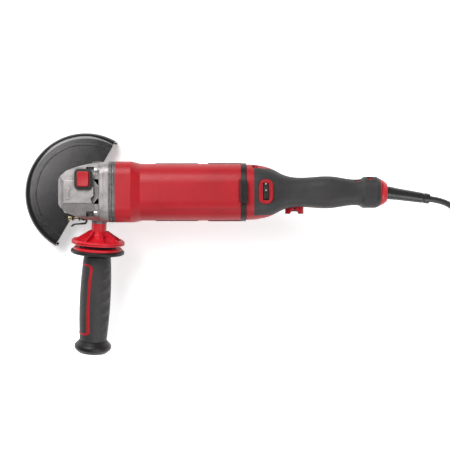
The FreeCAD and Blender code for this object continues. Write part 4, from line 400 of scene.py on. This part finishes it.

# %% [markdown]
# ### Painted shade in corners
# Corners and the foot of ribs are painted darker, as painted shade.  The Ambient Occlusion node is
# dark exactly there, so its inverse, roughened by noise, is the mask for this painted shade.
# Occlusion node is dark exactly there, so its inverse, roughened by noise, is a mask for grime.

# %% Painted corner shade
painted_shade_group, entry, result = new_group(
    "corner_painted_shade",
    [("Distance", "NodeSocketFloat", 0.006), ("Amount", "NodeSocketFloat", 0.5)],
    [("Mask", "NodeSocketFloat")],
)
place = add_node(painted_shade_group, "ShaderNodeTexCoord")
hidden = add_node(painted_shade_group, "ShaderNodeAmbientOcclusion", samples=6, only_local=False)
blotch = add_node(painted_shade_group, "ShaderNodeTexNoise", scale=220.0, detail=3.0)
painted_shade_group.links.new(entry.outputs["Distance"], hidden.inputs["Distance"])
painted_shade_group.links.new(place.outputs["Object"], blotch.inputs["Vector"])
deep = remap(painted_shade_group, hidden.outputs["AO"], 0.92, 0.35)
rough_mask = calculate(painted_shade_group, "MULTIPLY", deep,
                       remap(painted_shade_group, blotch.outputs["Fac"], 0.3, 0.6, 0.6, 1.0))
painted_shade_group.links.new(calculate(painted_shade_group, "MULTIPLY", rough_mask, entry.outputs["Amount"]),
                      result.inputs["Mask"])
print("group", painted_shade_group.name, "with", len(painted_shade_group.nodes), "nodes")

# %% [markdown]
# ## One recipe for every finish
# Each material slot of the record gets its own material.  They share one recipe: drifting colour,
# worn edges of another colour, grain in the bump, and roughness that rises in the grain and in the
# scuffs.  What differs is written in the table below it.

# %% Finish recipe
def use_group(tree, group, **values):
    """Place a group in a material and set its inputs."""
    node = tree.nodes.new("ShaderNodeGroup")
    node.node_tree = group
    for key, value in values.items():
        node.inputs[key.replace("_", " ").title()].default_value = value
    return node


def mix_colour(tree, mask, first, second):
    """Mix two colours by a mask; each is a socket or a plain colour."""
    node = tree.nodes.new("ShaderNodeMix")
    node.data_type = "RGBA"
    tree.links.new(mask, node.inputs["Factor"])
    for socket, value in ((node.inputs[6], first), (node.inputs[7], second)):
        if isinstance(value, bpy.types.NodeSocket):
            tree.links.new(value, socket)
        else:
            socket.default_value = (*value, 1.0)
    return node.outputs[2]


def make_finish(name, colour, second, rough, metallic=0.0, grain=(2400.0, 0.35, 0.00004),
                drift=30.0, wear=None, painted_shade=None, scuff=(90.0, 0.3), rough_spread=0.12,
                edge=0.0004, shader=None):
    """Material with drift, wear, grain and scuffs round one Principled shader."""
    material = bpy.data.materials.new(name)
    material.use_nodes = True
    tree = material.node_tree
    principled = tree.nodes["Principled BSDF"]
    for label, value in (shader or {}).items():
        principled.inputs[label].default_value = value
    tone = use_group(tree, drift_group, colour_a=(*colour, 1.0), colour_b=(*second, 1.0),
                     scale=drift)
    texture = use_group(tree, grain_group, scale=grain[0], softness=grain[1])
    marks = use_group(tree, scuff_group, scale=scuff[0], amount=scuff[1])
    base = tone.outputs["Colour"]
    shine = calculate(tree, "MULTIPLY", texture.outputs["Fleck"], rough_spread)
    shine = calculate(tree, "ADD", shine, rough - rough_spread / 2)
    shine = calculate(tree, "ADD", shine, calculate(tree, "MULTIPLY", marks.outputs["Mask"], 0.4))
    metal = None
    if wear:
        worn = use_group(tree, wear_group, amount=wear["amount"], radius=wear["radius"])
        base = mix_colour(tree, worn.outputs["Mask"], base, wear["colour"])
        shine = calculate(tree, "SUBTRACT", shine,
                          calculate(tree, "MULTIPLY", worn.outputs["Mask"], wear["polish"]))
        if wear.get("bare"):
            metal = calculate(tree, "MAXIMUM", worn.outputs["Mask"], metallic)
    # Painted shade: the AO corner mask darkens the base colour in corners and recesses, and
    # roughens it there.
    if painted_shade:
        shade_node = use_group(tree, painted_shade_group, amount=painted_shade["amount"], distance=painted_shade["reach"])
        base = mix_colour(tree, shade_node.outputs["Mask"], base, painted_shade["colour"])
        shine = calculate(tree, "ADD", shine,
                          calculate(tree, "MULTIPLY", shade_node.outputs["Mask"], 0.25))
    tree.links.new(base, principled.inputs["Base Color"])
    tree.links.new(shine, principled.inputs["Roughness"])
    if metal is None:
        principled.inputs["Metallic"].default_value = metallic
    else:
        tree.links.new(metal, principled.inputs["Metallic"])
    bump = tree.nodes.new("ShaderNodeBump")
    bump.inputs["Distance"].default_value = grain[2]
    soft_edge = tree.nodes.new("ShaderNodeBevel")
    soft_edge.samples = 4
    soft_edge.inputs["Radius"].default_value = edge
    tree.links.new(texture.outputs["Height"], bump.inputs["Height"])
    tree.links.new(soft_edge.outputs["Normal"], bump.inputs["Normal"])
    tree.links.new(bump.outputs["Normal"], principled.inputs["Normal"])
    return material


print("finish recipe ready")

# %% [markdown]
# ## The finishes
# Colours are linear.  Red and black plastics are matte with a fine grain, the rubber is darker and
# rougher, the gear head is bare satin casting, and the guard is black gloss paint, which is the
# only dark part with a sharp reflection.

# %% Finish table
FINISHES = {
    "cast_grey": dict(colour=(0.30, 0.285, 0.28), second=(0.20, 0.19, 0.187), rough=0.46,
                      metallic=0.7, grain=(1500.0, 0.8, 0.00009), drift=70.0,
                      # painted shade: the AO mask darkens the casting's corners towards near black
                      painted_shade=dict(amount=0.85, reach=0.007, colour=(0.035, 0.033, 0.032)),
                      wear=dict(amount=0.8, radius=0.0009, colour=(0.62, 0.60, 0.59), polish=0.12)),
    "plate_dark": dict(colour=(0.12, 0.115, 0.113), second=(0.055, 0.053, 0.052), rough=0.5,
                       # painted shade: the AO mask darkens the plate's corners towards near black
                       painted_shade=dict(amount=0.7, reach=0.003, colour=(0.02, 0.02, 0.02)),
                       metallic=0.6, grain=(1300.0, 0.9, 0.0001), drift=120.0,
                       wear=dict(amount=0.9, radius=0.0008, colour=(0.5, 0.49, 0.47), polish=0.15)),
    "zinc_screws": dict(colour=(0.42, 0.42, 0.43), second=(0.3, 0.3, 0.31), rough=0.34,
                        metallic=1.0, drift=300.0),
    "steel": dict(colour=(0.56, 0.56, 0.56), second=(0.46, 0.46, 0.46), rough=0.28, metallic=1.0,
                  drift=200.0, scuff=(160.0, 0.5)),
    "bearing_steel": dict(colour=(0.68, 0.68, 0.69), second=(0.6, 0.6, 0.61), rough=0.14,
                          metallic=1.0, drift=150.0),
    "gear_steel": dict(colour=(0.40, 0.39, 0.38), second=(0.3, 0.29, 0.28), rough=0.36,
                       metallic=1.0, drift=220.0),
    "flange_steel": dict(colour=(0.5, 0.5, 0.5), second=(0.36, 0.36, 0.36), rough=0.33,
                         metallic=1.0, drift=120.0, scuff=(140.0, 0.6)),
    "guard_black": dict(colour=(0.004, 0.0038, 0.0045), second=(0.007, 0.0065, 0.007), rough=0.17,
                        metallic=0.0, grain=(420.0, 0.5, 0.00005), drift=40.0, rough_spread=0.05,
                        scuff=(60.0, 0.12), shader={"Coat Weight": 0.2, "Coat Roughness": 0.1,
                                                    "Specular IOR Level": 0.38},
                        wear=dict(amount=0.5, radius=0.0007, colour=(0.24, 0.23, 0.22), polish=0.0,
                                  bare=True)),
    "zinc_yellow": dict(colour=(0.58, 0.46, 0.24), second=(0.45, 0.40, 0.30), rough=0.3,
                        metallic=1.0, drift=400.0),
    "lever_black": dict(colour=(0.012, 0.012, 0.012), second=(0.02, 0.02, 0.02), rough=0.3,
                        wear=dict(amount=0.7, radius=0.0005, colour=(0.3, 0.3, 0.3), polish=0.0,
                                  bare=True)),
    "dark_plastic": dict(colour=(0.007, 0.0068, 0.0070), second=(0.011, 0.0105, 0.0105), rough=0.42,
                         grain=(2600.0, 0.4, 0.00003), shader={"Specular IOR Level": 0.3},
                         wear=dict(amount=0.4, radius=0.0005, colour=(0.05, 0.05, 0.05),
                                   polish=0.1)),
    "red_plastic": dict(colour=(0.34, 0.007, 0.013), second=(0.285, 0.0055, 0.0105), rough=0.42,
                        grain=(2200.0, 0.5, 0.00004), drift=22.0,
                        wear=dict(amount=0.25, radius=0.0006, colour=(0.62, 0.05, 0.06),
                                  polish=0.12), shader={"Specular IOR Level": 0.28}),
    "lamination": dict(colour=(0.3, 0.3, 0.31), second=(0.22, 0.22, 0.23), rough=0.45,
                       metallic=1.0, drift=200.0),
    "copper": dict(colour=(0.66, 0.27, 0.11), second=(0.5, 0.18, 0.07), rough=0.32, metallic=1.0,
                   drift=300.0),
    "brass": dict(colour=(0.72, 0.5, 0.2), second=(0.6, 0.4, 0.15), rough=0.3, metallic=1.0,
                  drift=200.0),
    "carbon": dict(colour=(0.03, 0.03, 0.03), second=(0.045, 0.045, 0.045), rough=0.5),
    "grip_rubber": dict(colour=(0.017, 0.0158, 0.0158), second=(0.024, 0.0222, 0.0222), rough=0.58,
                        grain=(1500.0, 0.7, 0.00008), drift=45.0, scuff=(70.0, 0.5),
                        shader={"Sheen Weight": 0.06, "Sheen Roughness": 0.5,
                                "Specular IOR Level": 0.4}),
    "board_plastic": dict(colour=(0.08, 0.08, 0.085), second=(0.1, 0.1, 0.1), rough=0.5),
    "boot_rubber": dict(colour=(0.012, 0.012, 0.012), second=(0.017, 0.017, 0.017), rough=0.28,
                        grain=(900.0, 0.5, 0.00003), rough_spread=0.06),
    "cord_rubber": dict(colour=(0.014, 0.014, 0.014), second=(0.02, 0.02, 0.02), rough=0.42,
                        grain=(1200.0, 0.5, 0.00004)),
    "nickel": dict(colour=(0.62, 0.6, 0.56), second=(0.52, 0.5, 0.47), rough=0.2, metallic=1.0,
                   drift=300.0),
}
materials = {slot: make_finish(slot + "_finish", **spec) for slot, spec in FINISHES.items()}
# A lighter copy of the red plastic, used on the side handle's hub and ring and on the gland ring.
LIGHTER_RED_NODES = ("side_handle_hub", "side_handle_ring", "gland_ring")
lighter_red = make_finish("lighter_red_finish", (0.56, 0.008, 0.020), (0.48, 0.007, 0.016), 0.38,
                        grain=(2200.0, 0.4, 0.00003))
print("finishes", len(materials) + 1)

# %% [markdown]
# ## Dress the CAD parts
# Each CAD node keeps its mesh.  Only the material in its slot changes.  A weighted edge split is
# not needed, because the CAD faces already carry their own normals.

# %% Assign the finishes
for name, node in nodes.items():
    material = lighter_red if name in LIGHTER_RED_NODES else materials[slot_of[name]]
    if not node.material_slots:
        node.data.materials.append(material)
    for held in node.material_slots:
        held.material = material
cord.data.materials.append(materials["cord_rubber"])
print("dressed", len(nodes), "nodes")

# %% [markdown]
# ## Level marks on the speed dial
# A thumb-wheel for the speed has painted marks on its rim, wider for faster.  Each mark is a thin
# curved patch that follows the rim, and it rides on the dial, so it turns with it.

# %% Dial marks
MARKS = 6
MARK_PITCH = math.radians(38.57)   # three of the dial's 28 notches
MARK_LIFT = 0.06 * MM
MARK_ARC = math.radians(7.2)
ARC_STEPS = 4
dial_middle = (dial_low + dial_high) / 2
rim_r = (dial_high.z - dial_low.z) / 2 + MARK_LIFT
marks_mesh = bmesh.new()
for mark in range(MARKS):
    half_width = (0.5 + 0.3 * mark) * MM
    first = MARK_PITCH * mark - MARK_ARC / 2 + math.radians(6.43)
    rows = []
    for step in range(ARC_STEPS + 1):
        angle = first + MARK_ARC * step / ARC_STEPS
        rows.append([marks_mesh.verts.new((
            dial_middle.x + side * half_width,
            dial_middle.y + rim_r * math.sin(angle),
            dial_middle.z + rim_r * math.cos(angle),
        )) for side in (-1, 1)])
    for near, far in zip(rows, rows[1:]):
        marks_mesh.faces.new((near[0], near[1], far[1], far[0]))
marks_data = bpy.data.meshes.new("dial_marks")
marks_mesh.to_mesh(marks_data)
marks_mesh.free()
dial_marks = bpy.data.objects.new("dial_marks", marks_data)
bpy.context.scene.collection.objects.link(dial_marks)
thickness = dial_marks.modifiers.new("paint", "SOLIDIFY")
thickness.thickness = 0.05 * MM
thickness.offset = -1.0
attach(dial_marks, "speed_dial_group")
mark_paint = make_finish("mark_paint", (0.62, 0.61, 0.59), (0.52, 0.51, 0.49), 0.5)
dial_marks.data.materials.append(mark_paint)
print("dial marks", MARKS)
